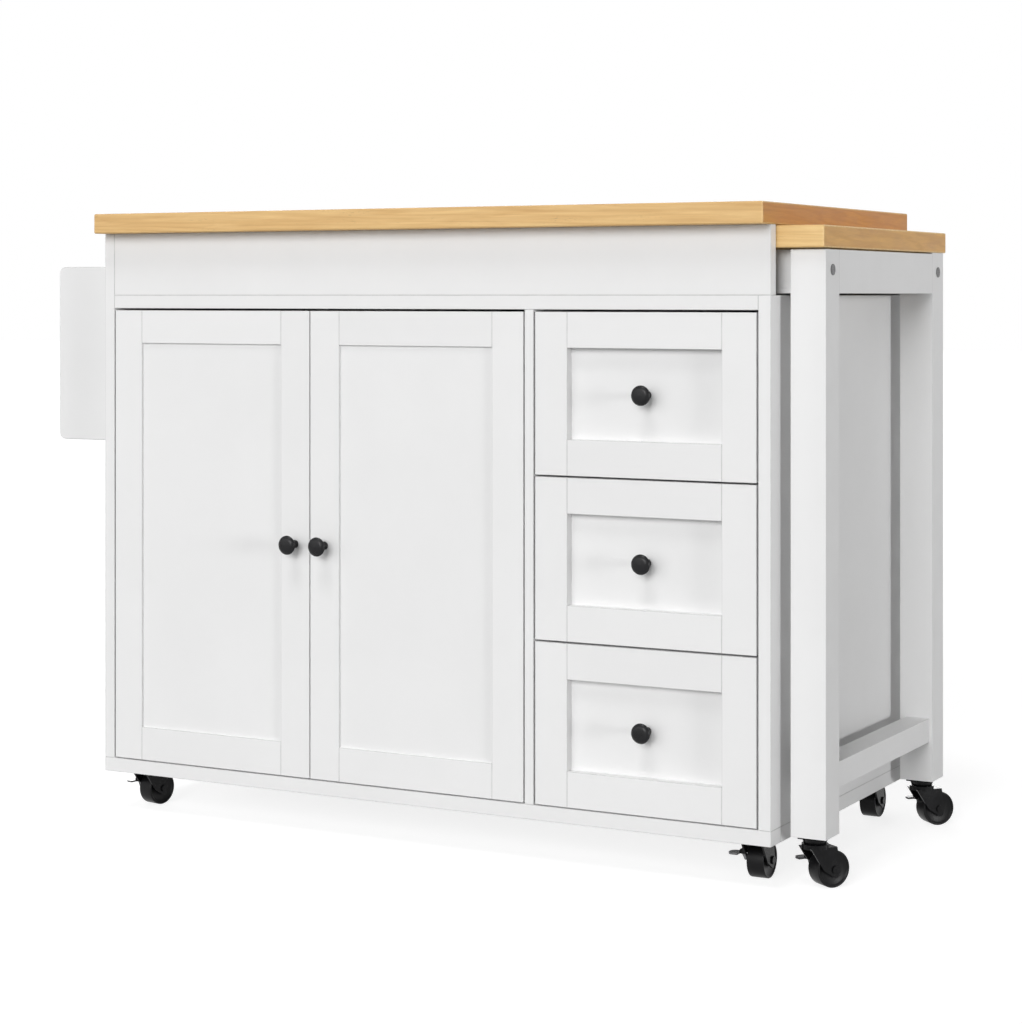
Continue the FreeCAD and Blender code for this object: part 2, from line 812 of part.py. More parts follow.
def make_drawer(name, low):
    """A drawer front and its knob, a box with a floor in grooves, and two moving slide members."""
    make_drawer_front(name, low)
    middle = (drawer_left + drawer_right) / 2
    node(f"{name}_drawer_knob", [knob(f"{name}_knob", middle, backing_front, low + drawer_height / 2)])
    base = low + size.box_rise
    inside_left = box_left + size.box_wall
    inside_right = box_right - size.box_wall
    floor_low = base + size.box_floor_rise
    floor_high = floor_low + size.box_floor
    inside = (inside_left, inside_right)
    wall_z = (floor_high, base + size.box_height)
    bite = size.box_groove - size.groove_clearance
    floor_x = (inside_left - bite, inside_right + bite)
    node(
        f"{name}_drawer_box",
        [
            box_side(f"{name}_left_wall", box_left, inside_left, base),
            box_side(f"{name}_right_wall", box_right, inside_right, base),
            board(f"{name}_front_wall", inside, (box_front, box_front + size.box_wall), wall_z),
            board(f"{name}_rear_wall", inside, (box_rear - size.box_wall, box_rear), wall_z),
            board(f"{name}_floor", floor_x, (box_front, box_rear), (floor_low, floor_high)),
        ],
    )
    level = base + size.slide_rise
    height = size.slide_height - (size.slide_steel + size.slide_fit) * 2
    inset = size.slide_width - slide_reach
    node(
        f"{name}_drawer_slides",
        [
            slide_member(f"{name}_left_member", box_left, divider_right + inset, height, level),
            slide_member(f"{name}_right_member", box_right, inner_right - inset, height, level),
        ],
    )
    left_lip = divider_right + slide_reach
    right_lip = inner_right - slide_reach
    return [
        slide_member(f"{name}_left_rail", divider_right, left_lip, size.slide_height, level),
        slide_member(f"{name}_right_rail", inner_right, right_lip, size.slide_height, level),
    ]


def make_drawers():
    rails = []
    for count, name in enumerate(DRAWERS):
        rails += make_drawer(name, front_low + (drawer_height + size.drawer_gap) * count)
    node("drawer_slide_rails", rails)


# Pull-out table

table_right = right + size.table_reach
table_left = inner_left + size.table_end_clearance
table_high = apron_top - size.table_top_clearance
table_low = table_high - size.table_thickness
table_front = front + size.apron_thickness + size.table_side_clearance
table_rear = rear - size.apron_thickness - size.table_side_clearance
leg_right = table_right - size.leg_end_inset
leg_left = leg_right - size.leg_size
front_leg = table_front + size.leg_side_inset
rear_leg = table_rear - size.leg_side_inset - size.leg_size
rail_low = deck_top + size.rail_clearance
leg_middles = (front_leg + size.leg_size / 2, rear_leg + size.leg_size / 2)


def make_table_top():
    """The table's slab, with its upper edges eased."""
    body = new_body("table_top")
    outline = rectangle((table_left, table_right), (table_front, table_rear))
    extrude(body, "Pad", sketch_on(body, "XY_Plane", outline), size.table_thickness, start=table_low)
    round_edges(body, size.top_edge_radius, lambda edge: near(edge.BoundBox.ZMin, table_high.value))
    node("table_top", [body])


def bored(body, start, length, middle):
    """A hole along X for a connector bolt."""
    radius = size.bolt_diameter / 2 + size.bolt_fit
    sketch = sketch_on(body, "YZ_Plane", circles=[(middle, table_low - size.bolt_drop, radius)])
    extrude(body, "Pocket", sketch, length, reversed_way=True, start=start)


def make_legs():
    """Two square legs with eased edges, each bored for its connector bolt."""
    legs = []
    for low, middle in zip((front_leg, rear_leg), leg_middles):
        body = new_body("table_leg")
        outline = rectangle((leg_left, leg_right), (low, low + size.leg_size))
        extrude(body, "Pad", sketch_on(body, "XY_Plane", outline), table_low - plate_level, start=plate_level)
        round_edges(body, size.leg_edge_radius, lambda edge: runs_along(edge, "z"))
        bored(body, leg_left, size.leg_size, middle)
        legs.append(body)
    node("table_legs", legs)


def make_table_frame():
    """The side rails that slide on the deck, the two end rails, and the stretcher between the legs."""
    half = size.rail_thickness / 2
    rail_z = (rail_low, table_low)
    rails = []
    for middle in leg_middles:
        body = new_body("table_side_rail")
        outline = rectangle((table_left, leg_left), (middle - half, middle + half))
        extrude(body, "Pad", sketch_on(body, "XY_Plane", outline), table_low - rail_low, start=rail_low)
        bored(body, leg_left - size.bolt_bite, size.bolt_bite, middle)
        rails.append(body)
    cross = (leg_middles[0] + half, leg_middles[1] - half)
    rails.append(board("inner_cross_rail", (table_left, table_left + size.rail_thickness), cross, rail_z))
    between = (front_leg + size.leg_size, rear_leg)
    rails.append(board("end_apron", (leg_right - size.rail_thickness, leg_right), between, rail_z))
    node("table_rails", rails)
    body = new_body("table_stretcher")
    stretcher_right = leg_right - size.stretcher_inset
    low = plate_level + size.stretcher_rise
    stretcher_x = (stretcher_right - size.stretcher_width, stretcher_right)
    outline = rectangle(stretcher_x, (low, low + size.stretcher_height))
    sketch = sketch_on(body, "XZ_Plane", outline)
    extrude(body, "Pad", sketch, between[1] - between[0], reversed_way=True, start=-between[0])
    round_edges(body, size.stretcher_edge_radius, lambda edge: runs_along(edge, "y"))
    node("table_stretcher", [body])


def make_bolts():
    """Connector bolts: a flat round head on the leg's outer face, and a shank through it into the rail."""
    bolts = []
    for middle in leg_middles:
        body = new_body("leg_bolt")
        level = table_low - size.bolt_drop
        head = sketch_on(body, "YZ_Plane", circles=[(middle, level, size.bolt_head_diameter / 2)])
        extrude(body, "Pad", head, size.bolt_head_thickness, start=leg_right)
        shank = sketch_on(body, "YZ_Plane", circles=[(middle, level, size.bolt_diameter / 2)])
        shank_left = leg_left - size.bolt_bite
        extrude(body, "Pad", shank, leg_right + size.bolt_head_thickness - shank_left, start=shank_left)
        bolts.append(body)
    node("table_leg_bolts", bolts)


def make_stop():
    """A cleat on the deck that catches the inner cross rail at the end of its travel."""
    caught = table_left + size.rail_thickness + size.table_travel
    stop_left = caught + size.stop_clearance
    stop_x = (stop_left, stop_left + size.stop_thickness)
    middle = (leg_middles[0] + leg_middles[1]) / 2
    stop_y = (middle - size.stop_length / 2, middle + size.stop_length / 2)
    node("table_stop_cleat", [board("stop", stop_x, stop_y, (deck_top, deck_top + size.stop_height))])


# Casters: each is drawn about its swivel axis, trailing along +X, with its brake on the +Y side

wheel_radius = size.wheel_diameter / 2
raceway_diameter = size.caster_plate - size.raceway_margin * 2
fork_inside = size.wheel_width + size.wheel_side_clearance * 2
fork_outside = fork_inside + size.fork_steel * 2
lever_hub = size.brake_pin_diameter / 2 + size.lever_wall
lever_x = (size.lever_offset, size.lever_offset + size.lever_width)
brake_pin_y = fork_outside / 2 + size.lever_clearance + lever_hub
brake_pin_z = wheel_radius + size.brake_pin_rise
ear_half = size.brake_pin_diameter / 2 + size.ear_wall
ear_starts = (lever_x[0] - size.lever_clearance - size.ear_thickness, lever_x[1] + size.lever_clearance)
shoe_top = brake_pin_z - size.shoe_top_drop
shoe_low = brake_pin_z - size.shoe_low_drop


def caster_plate(name, x, y):
    """A square plate with four screw holes, the upper raceway, and the kingpin, headed below the fork."""
    body = new_body(name)
    half = size.caster_plate / 2
    offset = size.caster_screw_pitch / 2
    holes = [(ax, ay, size.caster_screw_diameter / 2) for ax in (-offset, offset) for ay in (-offset, offset)]
    sketch = sketch_on(body, "XY_Plane", rectangle((-half, half), (-half, half)), holes)
    extrude(body, "Pad", sketch, size.caster_plate_thickness, start=plate_low)
    round_edges(
        body,
        size.caster_plate_radius,
        lambda edge: runs_along(edge, "z") and near(abs(edge.BoundBox.XMin), half.value),
    )
    pin = size.kingpin_diameter / 2
    head = size.kingpin_head_diameter / 2
    head_top = bridge_low - size.swivel_clearance
    corners = [
        (ZERO, head_top - size.kingpin_head_thickness),
        (head, head_top - size.kingpin_head_thickness),
        (head, head_top),
        (pin, head_top),
        (pin, upper_raceway_low),
        (size.raceway_top_diameter / 2, upper_raceway_low),
        (raceway_diameter / 2, plate_low),
        (ZERO, plate_low),
    ]
    revolve(body, sketch_on(body, "XZ_Plane", corners), "V_Axis")
    return place(body, x, y)


def caster_fork(name, caster):
    """A folded steel fork: two cheeks, a bridge over the wheel, the lower raceway and the brake's ears."""
    body = new_body(name)
    axle = size.caster_trail
    corners = [
        (-size.fork_rear, bridge_high),
        (size.fork_front, bridge_high),
        (axle + size.cheek_toe, wheel_radius),
        (axle + size.cheek_toe / 2, wheel_radius - size.cheek_drop),
        (axle - size.cheek_heel, wheel_radius),
    ]
    hole = [(axle, wheel_radius, size.axle_diameter / 2 + size.axle_fit)]
    extrude(body, "Pad", sketch_on(body, "XZ_Plane", corners, hole), fork_outside, symmetric=True)
    round_edges(
        body,
        size.cheek_corner_radius,
        lambda edge: runs_along(edge, "y") and edge.BoundBox.ZMax < bridge_low.value,
    )
    cut_low = wheel_radius - size.cheek_drop - size.cut_overrun
    cut_rear = -size.fork_rear - size.cut_overrun
    slot = rectangle((cut_rear, axle + size.cheek_toe + size.cut_overrun), (cut_low, bridge_low))
    extrude(body, "Pocket", sketch_on(body, "XZ_Plane", slot), fork_inside, symmetric=True)
    cut_brake_notch(body, cut_rear)
    for start in ear_starts:
        add_ear(body, start)
    race = sketch_on(body, "XY_Plane", circles=[(ZERO, ZERO, raceway_diameter / 2)])
    extrude(body, "Pad", race, raceway_high - bridge_low, start=bridge_low)
    bore_radius = size.kingpin_diameter / 2 + size.kingpin_fit
    bore = sketch_on(body, "XY_Plane", circles=[(ZERO, ZERO, bore_radius)])
    extrude(body, "Pocket", bore, raceway_high + size.cut_overrun, reversed_way=True)
    return place(body, *caster)


def cut_brake_notch(body, cut_rear):
    """A notch in the brake's cheek, open to the rear, through which the shoe reaches the wheel's side."""
    notch_x = (cut_rear, lever_x[1] + size.notch_clearance)
    notch_z = (shoe_low - size.notch_clearance, brake_pin_z - size.shoe_arm_drop + size.notch_clearance)
    sketch = sketch_on(body, "XZ_Plane", rectangle(notch_x, notch_z))
    outside = fork_outside / 2 + size.cut_overrun
    extrude(body, "Pocket", sketch, size.fork_steel + size.cut_overrun, reversed_way=True, start=-outside)


def add_ear(body, start):
    """An ear that stands out from the brake's cheek and holds one end of the brake pin."""
    tip = brake_pin_y + ear_half
    outline = rectangle((fork_inside / 2, tip), (brake_pin_z - ear_half, brake_pin_z + ear_half))
    hole = [(brake_pin_y, brake_pin_z, size.brake_pin_diameter / 2 + size.brake_pin_fit)]
    extrude(body, "Pad", sketch_on(body, "YZ_Plane", outline, hole), size.ear_thickness, start=start)
    ear_start = start.value
    round_edges(
        body,
        size.ear_corner_radius,
        lambda edge: runs_along(edge, "x") and near(edge.BoundBox.YMin, tip.value)
        and near(edge.BoundBox.XMin, ear_start),
    )


def axle_pin(name, caster):
    """The axle across the fork, with a head on each cheek."""
    body = new_body(name)
    x, z = size.caster_trail, wheel_radius
    shank = sketch_on(body, "XZ_Plane", circles=[(x, z, size.axle_diameter / 2)])
    extrude(body, "Pad", shank, fork_outside, symmetric=True)
    for way in (1, -1):
        cap = sketch_on(body, "XZ_Plane", circles=[(x, z, size.axle_head_diameter / 2)])
        start = fork_outside / 2 * way
        extrude(body, "Pad", cap, size.axle_head_thickness, reversed_way=way < 0, start=start)
    return place(body, *caster)


def brake_pin(name, caster):
    """The brake's pin through both ears, with a head outside each."""
    body = new_body(name)
    ends = (ear_starts[0], ear_starts[1] + size.ear_thickness)
    shank = sketch_on(body, "YZ_Plane", circles=[(brake_pin_y, brake_pin_z, size.brake_pin_diameter / 2)])
    extrude(body, "Pad", shank, ends[1] - ends[0], start=ends[0])
    for start in (ends[0] - size.brake_pin_head_thickness, ends[1]):
        circle = (brake_pin_y, brake_pin_z, size.brake_pin_head_diameter / 2)
        head = sketch_on(body, "YZ_Plane", circles=[circle])
        extrude(body, "Pad", head, size.brake_pin_head_thickness, start=start)
    return place(body, *caster)


def caster_wheel(name, caster):
    """A turned wheel: bore, hub, recessed web, and a tread with rounded shoulders."""
    body = new_body(name)
    half = size.wheel_width / 2
    bore = size.axle_diameter / 2 + size.axle_fit
    hub = size.wheel_hub_diameter / 2
    rim = wheel_radius - size.wheel_rim
    web = half - size.wheel_recess
    one_side = [(bore, half), (hub, half), (hub, web), (rim, web), (rim, half), (wheel_radius, half)]
    other_side = [(radius, -offset) for radius, offset in reversed(one_side)]
    revolve(body, sketch_on(body, "XY_Plane", one_side + other_side), "V_Axis")
    round_edges(
        body,
        size.wheel_edge_radius,
        lambda edge: near(edge.BoundBox.XLength, size.wheel_diameter.value),
    )
    x, y, _, turn = caster
    reach_share = (math.cos(math.radians(turn)), math.sin(math.radians(turn)))
    axle_x = x + size.caster_trail * reach_share[0]
    axle_y = y + size.caster_trail * reach_share[1]
    return place(body, axle_x, axle_y, wheel_radius, turn)


def brake_lever(name, caster):
    """A side brake: a hub on its pin, a tongue to step on, and an arm with a shoe for the wheel's side."""
    body = new_body(name)
    half = size.pedal_thickness / 2
    tongue_z = brake_pin_z - size.pedal_drop
    root = brake_pin_y + ear_half + size.lever_clearance
    shoe_face = size.wheel_width / 2 + size.shoe_clearance
    corners = [
        (brake_pin_y - lever_hub, brake_pin_z),
        (brake_pin_y - lever_hub / 2, brake_pin_z + lever_hub),
        (brake_pin_y + lever_hub / 2, brake_pin_z + lever_hub),
        (root, tongue_z + half),
        (root + size.pedal_overlap, tongue_z + half),
        (root + size.pedal_overlap, tongue_z - half),
        (brake_pin_y + lever_hub / 2, brake_pin_z - lever_hub),
        (shoe_face + size.shoe_thickness, shoe_low),
        (shoe_face, shoe_low),
        (shoe_face, shoe_top),
        (brake_pin_y - lever_hub, brake_pin_z - size.shoe_arm_drop),
    ]
    hole = [(brake_pin_y, brake_pin_z, size.brake_pin_diameter / 2 + size.brake_pin_fit)]
    extrude(body, "Pad", sketch_on(body, "YZ_Plane", corners, hole), size.lever_width, start=lever_x[0])
    tip = fork_outside / 2 + size.pedal_reach
    tongue = rectangle((-size.pedal_width / 2, size.pedal_width / 2), (root, tip))
    extrude(body, "Pad", sketch_on(body, "XY_Plane", tongue), size.pedal_thickness, start=tongue_z - half)
    round_edges(
        body,
        size.pedal_corner_radius,
        lambda edge: runs_along(edge, "z") and near(edge.BoundBox.YMin, tip.value),
    )
    return place(body, *caster)


def make_caster(name, x, y):
    """A fork with its axle and brake pin, a wheel and a brake."""
    caster = (x, y, ZERO, CASTER_TURNS[name])
    fork = caster_fork(f"{name}_fork", caster)
    axle = axle_pin(f"{name}_axle", caster)
    node(f"{name}_caster_fork", [fork, axle, brake_pin(f"{name}_brake_pin", caster)])
    node(f"{name}_caster_wheel", [caster_wheel(f"{name}_wheel", caster)])
    node(f"{name}_caster_brake", [brake_lever(f"{name}_brake", caster)])


def make_casters():
    side_inset = size.skirt_thickness + size.caster_plate / 2
    left_inset = side_inset + size.caster_plate_clearance
    right_inset = side_inset + size.caster_right_clearance
    places_x = (left + left_inset, right - right_inset)
    end_inset = size.front_skirt_thickness + size.caster_plate_clearance + size.caster_plate / 2
    places_y = (front + end_inset, rear - end_inset)
    corners = {
        "front_left": (places_x[0], places_y[0]),
        "front_right": (places_x[1], places_y[0]),
        "rear_left": (places_x[0], places_y[1]),
        "rear_right": (places_x[1], places_y[1]),
    }
    feet = {
        "table_front": (leg_left + size.leg_size / 2, leg_middles[0]),
        "table_rear": (leg_left + size.leg_size / 2, leg_middles[1]),
    }
    node("cabinet_caster_plates", [caster_plate("cabinet_plate", x, y) for x, y in corners.values()])
    node("table_caster_plates", [caster_plate("table_plate", x, y) for x, y in feet.values()])
    for name, (x, y) in (corners | feet).items():
        make_caster(name, x, y)


make_countertop()
make_sides()
make_divider()
make_carcass()
make_shelf()
make_rack()
make_doors()
make_drawers()
make_table_top()
make_legs()
make_table_frame()
make_bolts()
make_stop()
make_casters()
doc.recompute()

for piece in doc.Objects:
    if "Invalid" in piece.State or "Error" in piece.State:
        raise RuntimeError(f"{piece.Label} failed: {piece.State}")
for group in nodes:
    if group.Shape.isNull() or not group.Shape.isValid():
        raise RuntimeError(f"{group.Label} has no valid shape")

os.makedirs("parts", exist_ok=True)
for group in nodes:
    group.Shape.exportStep(os.path.join("parts", f"{group.Label}.step"))
print(f"{len(nodes)} nodes, {sum(len(group.Shape.Solids) for group in nodes)} solids")
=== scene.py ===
"""Looks of a rolling kitchen island: painted boards, butcher-block tops, black knobs and braked casters."""

import json
import logging
import math
from dataclasses import dataclass, field
from enum import Enum

import bpy
import numpy as np
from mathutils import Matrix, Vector


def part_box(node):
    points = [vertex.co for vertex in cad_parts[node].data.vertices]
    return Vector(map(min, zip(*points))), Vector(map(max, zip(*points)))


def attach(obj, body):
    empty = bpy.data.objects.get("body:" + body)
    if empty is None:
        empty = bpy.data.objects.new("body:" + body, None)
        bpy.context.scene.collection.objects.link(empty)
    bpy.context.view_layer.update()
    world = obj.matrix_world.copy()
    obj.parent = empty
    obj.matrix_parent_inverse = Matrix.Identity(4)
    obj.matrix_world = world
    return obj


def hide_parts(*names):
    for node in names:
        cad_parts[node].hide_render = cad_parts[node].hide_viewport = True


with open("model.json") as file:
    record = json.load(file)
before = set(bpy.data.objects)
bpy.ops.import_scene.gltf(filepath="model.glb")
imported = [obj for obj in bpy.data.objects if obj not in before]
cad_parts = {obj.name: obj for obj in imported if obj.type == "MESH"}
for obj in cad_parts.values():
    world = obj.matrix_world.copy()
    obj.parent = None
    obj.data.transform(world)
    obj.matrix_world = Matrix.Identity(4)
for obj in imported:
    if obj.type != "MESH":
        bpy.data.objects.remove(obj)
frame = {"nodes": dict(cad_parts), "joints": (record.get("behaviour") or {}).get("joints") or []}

log = logging.getLogger("kitchen_island")

MM = 0.001
SEED = 20

DOORS = ("left", "right")
DRAWERS = ("bottom", "middle", "top")
CASTERS = ("front_left", "front_right", "rear_left", "rear_right", "table_front", "table_rear")

ARC_STEPS = 3
# Corner radii are a little over the edge radius, so that no arc shrinks to a point
CORNER_SHARE = 1.05
FLUSH = 0.01 * MM
SHARP_ANGLE = math.radians(40)
UPRIGHT = 0.9
HOLE_STEPS = 32
HOLE_OVERRUN = 1 * MM

# A screw head's rings and its cross recess, in shares of its radius. The depth is a share of its height
HEAD_STEPS = 40
HEAD_SHARES = (*np.linspace(0.02, 0.66, 12), 0.82, 0.97, 1.0, 1.0)
CROSS_HALF_WIDTH_SHARE = 0.15
CROSS_REACH_SHARE = 0.6
CROSS_WALL_SHARES = (0.06, 0.08)
CROSS_DEPTH_SHARE = 0.6

Point = tuple[float, float, float]
Colour = tuple[float, float, float]
Profile = tuple[tuple[float, float], ...]
Socket = bpy.types.NodeSocket
Material = bpy.types.Material
Object = bpy.types.Object


class Axis(Enum):
    """The three directions of the shared frame."""

    X = 0
    Y = 1
    Z = 2


class Slot(Enum):
    """The record's material slots that pieces of the scene take."""

    WHITE = "white_board"
    BLOCK = "butcher_block"
    DRAWER = "drawer_board"
    KNOB = "black_knob"
    TREAD = "caster_tread"
    ZINC = "zinc_steel"


# Places and surfaces


@dataclass(frozen=True)
class Box:
    """A straight box in the shared frame, in metres."""

    low: Point
    high: Point

    @classmethod
    def of(cls, node: str) -> "Box":
        """The box of a CAD node at rest."""
        low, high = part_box(node)
        return cls(tuple(low), tuple(high))

    def span(self, axis: Axis) -> tuple[float, float]:
        """The lowest and highest place along one axis."""
        return self.low[axis.value], self.high[axis.value]

    def middle(self, axis: Axis) -> float:
        """The place halfway along one axis."""
        return sum(self.span(axis)) / 2

    def cut(self, **spans: tuple[float, float]) -> "Box":
        """This box with other spans along the axes named x, y and z.

        Args:
            spans: The new (low, high) places, by axis name.

        Returns:
            The changed box.
        """
        low, high = list(self.low), list(self.high)
        for name, (start, end) in spans.items():
            index = Axis[name.upper()].value
            low[index], high[index] = start, end
        return Box(tuple(low), tuple(high))

    def ends(self, axis: Axis, depth: float) -> list["Box"]:
        """The two slices of a given depth at the box's ends along one axis, the lower one first."""
        low, high = self.span(axis)
        spans = ((low, low + depth), (high - depth, high))
        return [self.cut(**{axis.name.lower(): span}) for span in spans]

    def inside(self, axis: Axis, depth: float) -> "Box":
        """What is left between two such slices."""
        low, high = self.span(axis)
        return self.cut(**{axis.name.lower(): (low + depth, high - depth)})


@dataclass
class Surface:
    """Vertices and faces of one or more skins, with numbers that belong to the faces."""

    points: np.ndarray
    faces: list[list[int]]
    marks: dict[str, np.ndarray] = field(default_factory=dict)

    @staticmethod
    def joined(parts: list["Surface"]) -> "Surface":
        """Several skins as one.

        Args:
            parts: The skins. A mark that one of them lacks is 0 on its faces.

        Returns:
            One surface that holds them side by side.
        """
        starts = np.cumsum([0] + [len(part.points) for part in parts])
        faces = [
            [index + start for index in face] for part, start in zip(parts, starts) for face in part.faces
        ]
        marks = {
            name: np.concatenate([part.marks.get(name, np.zeros(len(part.faces))) for part in parts])
            for name in sorted(set().union(*(part.marks for part in parts)))
        }
        return Surface(np.concatenate([part.points for part in parts]), faces, marks)

    def mark_reveal(self, level: float) -> None:
        """Marks with reveal the faces that lie in the plane across X at a level."""
        aside = [np.abs(self.points[face, Axis.X.value] - level).max() for face in self.faces]
        self.marks["reveal"] = (np.array(aside) < FLUSH).astype(float)

    def mesh(self, name: str) -> bpy.types.Mesh:
        """A Blender mesh of the points and faces."""
        made = bpy.data.meshes.new(name)
        made.from_pydata(self.points.tolist(), [], self.faces)
        return made


def tube_faces(rows: int, columns: int) -> list[list[int]]:
    """Faces of a tube: quads between neighbouring rings of points, and a cap on each end.

    Args:
        rows: Number of rings.
        columns: Points in each ring.

    Returns:
        The point numbers of each quad, then those of the first and the last ring's cap.
    """
    row, column = np.meshgrid(np.arange(rows - 1), np.arange(columns), indexing="ij")
    near, after = row * columns, (column + 1) % columns
    far = near + columns
    quads = np.stack([near + column, near + after, far + after, far + column], axis=-1)
    last = (rows - 1) * columns
    caps = [list(range(columns))[::-1], list(range(last, last + columns))]
    return quads.reshape(-1, 4).tolist() + caps


def rounded_ring(half: tuple[float, float], radii: tuple[float, ...], inset: float) -> np.ndarray:
    """A rectangle with round corners, moved inwards by an inset.

    Each corner is an arc about a fixed centre, and the inset shortens the arc's radius.

    Args:
        half: Half the rectangle's two sides.
        radii: The corner radii, anticlockwise from the first quadrant.
        inset: How far the outline is moved inwards.

    Returns:
        Points in the plane, anticlockwise.
    """
    turns = np.linspace(0, math.pi / 2, ARC_STEPS + 1)
    signs = ((1, 1), (-1, 1), (-1, -1), (1, -1))
    arcs = []
    for quarter, (sign, radius) in enumerate(zip(signs, radii)):
        centre = np.array([sign[0] * (half[0] - radius), sign[1] * (half[1] - radius)])
        angle = turns + quarter * math.pi / 2
        arcs.append(centre + (radius - inset) * np.stack([np.cos(angle), np.sin(angle)], axis=-1))
    return np.concatenate(arcs)


def eased_board(box: Box, edge: float, path: Axis = Axis.Z, corners: tuple[float, ...] = ()) -> Surface:
    """A board whose edges are all eased by a small radius.

    The section is a rectangle with round corners, carried along the path. Near each end the section moves
    inwards along a quarter circle, so that the end's edges are round as well.

    Args:
        box: The board's outer size.
        edge: Radius of the eased edges.
        path: The axis along which the section is carried.
        corners: Radii of the section's corners, where they differ from the edge.

    Returns:
        A closed surface. Its mark eased is 1 on the rounded edges, and its mark end is 1 on the end faces.
    """
    across = [axis for axis in Axis if axis is not path]
    if path is Axis.Y:
        across.reverse()
    least = edge * CORNER_SHARE
    radii = tuple(max(radius, least) for radius in corners) if corners else (least,) * 4
    half = tuple((box.span(axis)[1] - box.span(axis)[0]) / 2 for axis in across)
    turn = np.linspace(0, math.pi / 2, ARC_STEPS + 1)
    low, high = box.span(path)
    insets = edge * (1 - np.sin(turn))
    steps = edge * (1 - np.cos(turn))
    along = np.concatenate([low + steps, (high - steps)[::-1]])
    rings = np.stack([rounded_ring(half, radii, inset) for inset in np.concatenate([insets, insets[::-1]])])
    points = np.zeros(rings.shape[:2] + (3,))
    for order, axis in enumerate(across):
        points[..., axis.value] = rings[..., order] + box.middle(axis)
    points[..., path.value] = along[:, None]
    rows, columns = rings.shape[:2]
    faces = tube_faces(rows, columns)
    row_arc = np.ones(rows - 1)
    row_arc[ARC_STEPS] = 0
    column_arc = (np.arange(columns) % (ARC_STEPS + 1) != ARC_STEPS).astype(float)
    eased = np.maximum(row_arc[:, None], column_arc[None, :]).ravel()
    ends = np.zeros(len(faces))
    ends[-2:] = 1
    marks = {"eased": np.append(eased, [0, 0]), "end": ends}
    return Surface(points.reshape(-1, 3), faces, marks)


def circle(axis: np.ndarray, steps: int) -> np.ndarray:
    """Unit directions square to an axis, evenly spaced around it.

    Args:
        axis: Unit direction of the axis.
        steps: Number of directions.

    Returns:
        A row for each direction.
    """
    helper = np.array([0.0, 0.0, 1.0]) if abs(axis[2]) < UPRIGHT else np.array([1.0, 0.0, 0.0])
    first = np.cross(helper, axis)
    first /= np.linalg.norm(first)
    angle = np.linspace(0, 2 * math.pi, steps, endpoint=False)[:, None]
    return np.cos(angle) * first + np.sin(angle) * np.cross(axis, first)


def turned(profile: np.ndarray, centre: np.ndarray, axis: np.ndarray, steps: int) -> Surface:
    """A profile carried once around an axis, with a flat cap at each end.

    A point at radius r and height h goes to the centre, plus h along the axis, plus r along a direction that
    turns through a full circle.

    Args:
        profile: Rows of (radius, height), from one end of the axis to the other.
        centre: The point on the axis at height zero.
        axis: Unit direction of the axis.
        steps: Points around the circle.

    Returns:
        A closed surface.
    """
    points = centre + profile[:, 0, None, None] * circle(axis, steps) + profile[:, 1, None, None] * axis
    return Surface(points.reshape(-1, 3), tube_faces(len(profile), steps))


def smooth_profile(line: np.ndarray, rounds: int = 3) -> np.ndarray:
    """A profile rounded by cutting each corner at a quarter of its sides, several times.

    Args:
        line: Rows of (radius, height) in metres.
        rounds: How often the corners are cut.

    Returns:
        The rounded profile, with the same two end points.
    """
    for _ in range(rounds):
        near = 0.75 * line[:-1] + 0.25 * line[1:]
        far = 0.25 * line[:-1] + 0.75 * line[1:]
        line = np.concatenate([line[:1], np.stack([near, far], axis=1).reshape(-1, 2), line[-1:]])
    return line


def recessed_head(
    centre: np.ndarray, axis: np.ndarray, radius: float, height: float, dome: float = 0.35
) -> Surface:
    """A low screw head with a cross recess, as a height over a polar grid.

    The height falls as the square of the radius towards the rim, and drops inside a cross with sloping walls.

    Args:
        centre: Middle of the head's seat.
        axis: Unit direction out of the seat.
        radius: Radius of the head.
        height: Height of the head at its middle.
        dome: Share of the height that is lost at the rim.

    Returns:
        A closed surface, flat on its seat.
    """
    share = np.array(HEAD_SHARES)[:, None]
    angle = np.linspace(0, 2 * math.pi, HEAD_STEPS, endpoint=False)
    aside, up = np.abs(share * np.cos(angle)), np.abs(share * np.sin(angle))
    arms = np.clip((CROSS_HALF_WIDTH_SHARE - np.minimum(aside, up)) / CROSS_WALL_SHARES[0], 0, 1)
    tips = np.clip((CROSS_REACH_SHARE - np.maximum(aside, up)) / CROSS_WALL_SHARES[1], 0, 1)
    level = height * (1 - dome * share**2 - CROSS_DEPTH_SHARE * arms * tips)
    level[-1] = 0
    points = centre + radius * share[..., None] * circle(axis, HEAD_STEPS) + level[..., None] * axis
    faces = [face[::-1] for face in tube_faces(len(share), HEAD_STEPS)]
    return Surface(points.reshape(-1, 3), faces)


def add_object(name: str, data: bpy.types.ID) -> Object:
    """A new object in the scene, at the origin, that shows a mesh, a light or a camera."""
    made = bpy.data.objects.new(name, data)
    bpy.context.scene.collection.objects.link(made)
    return made


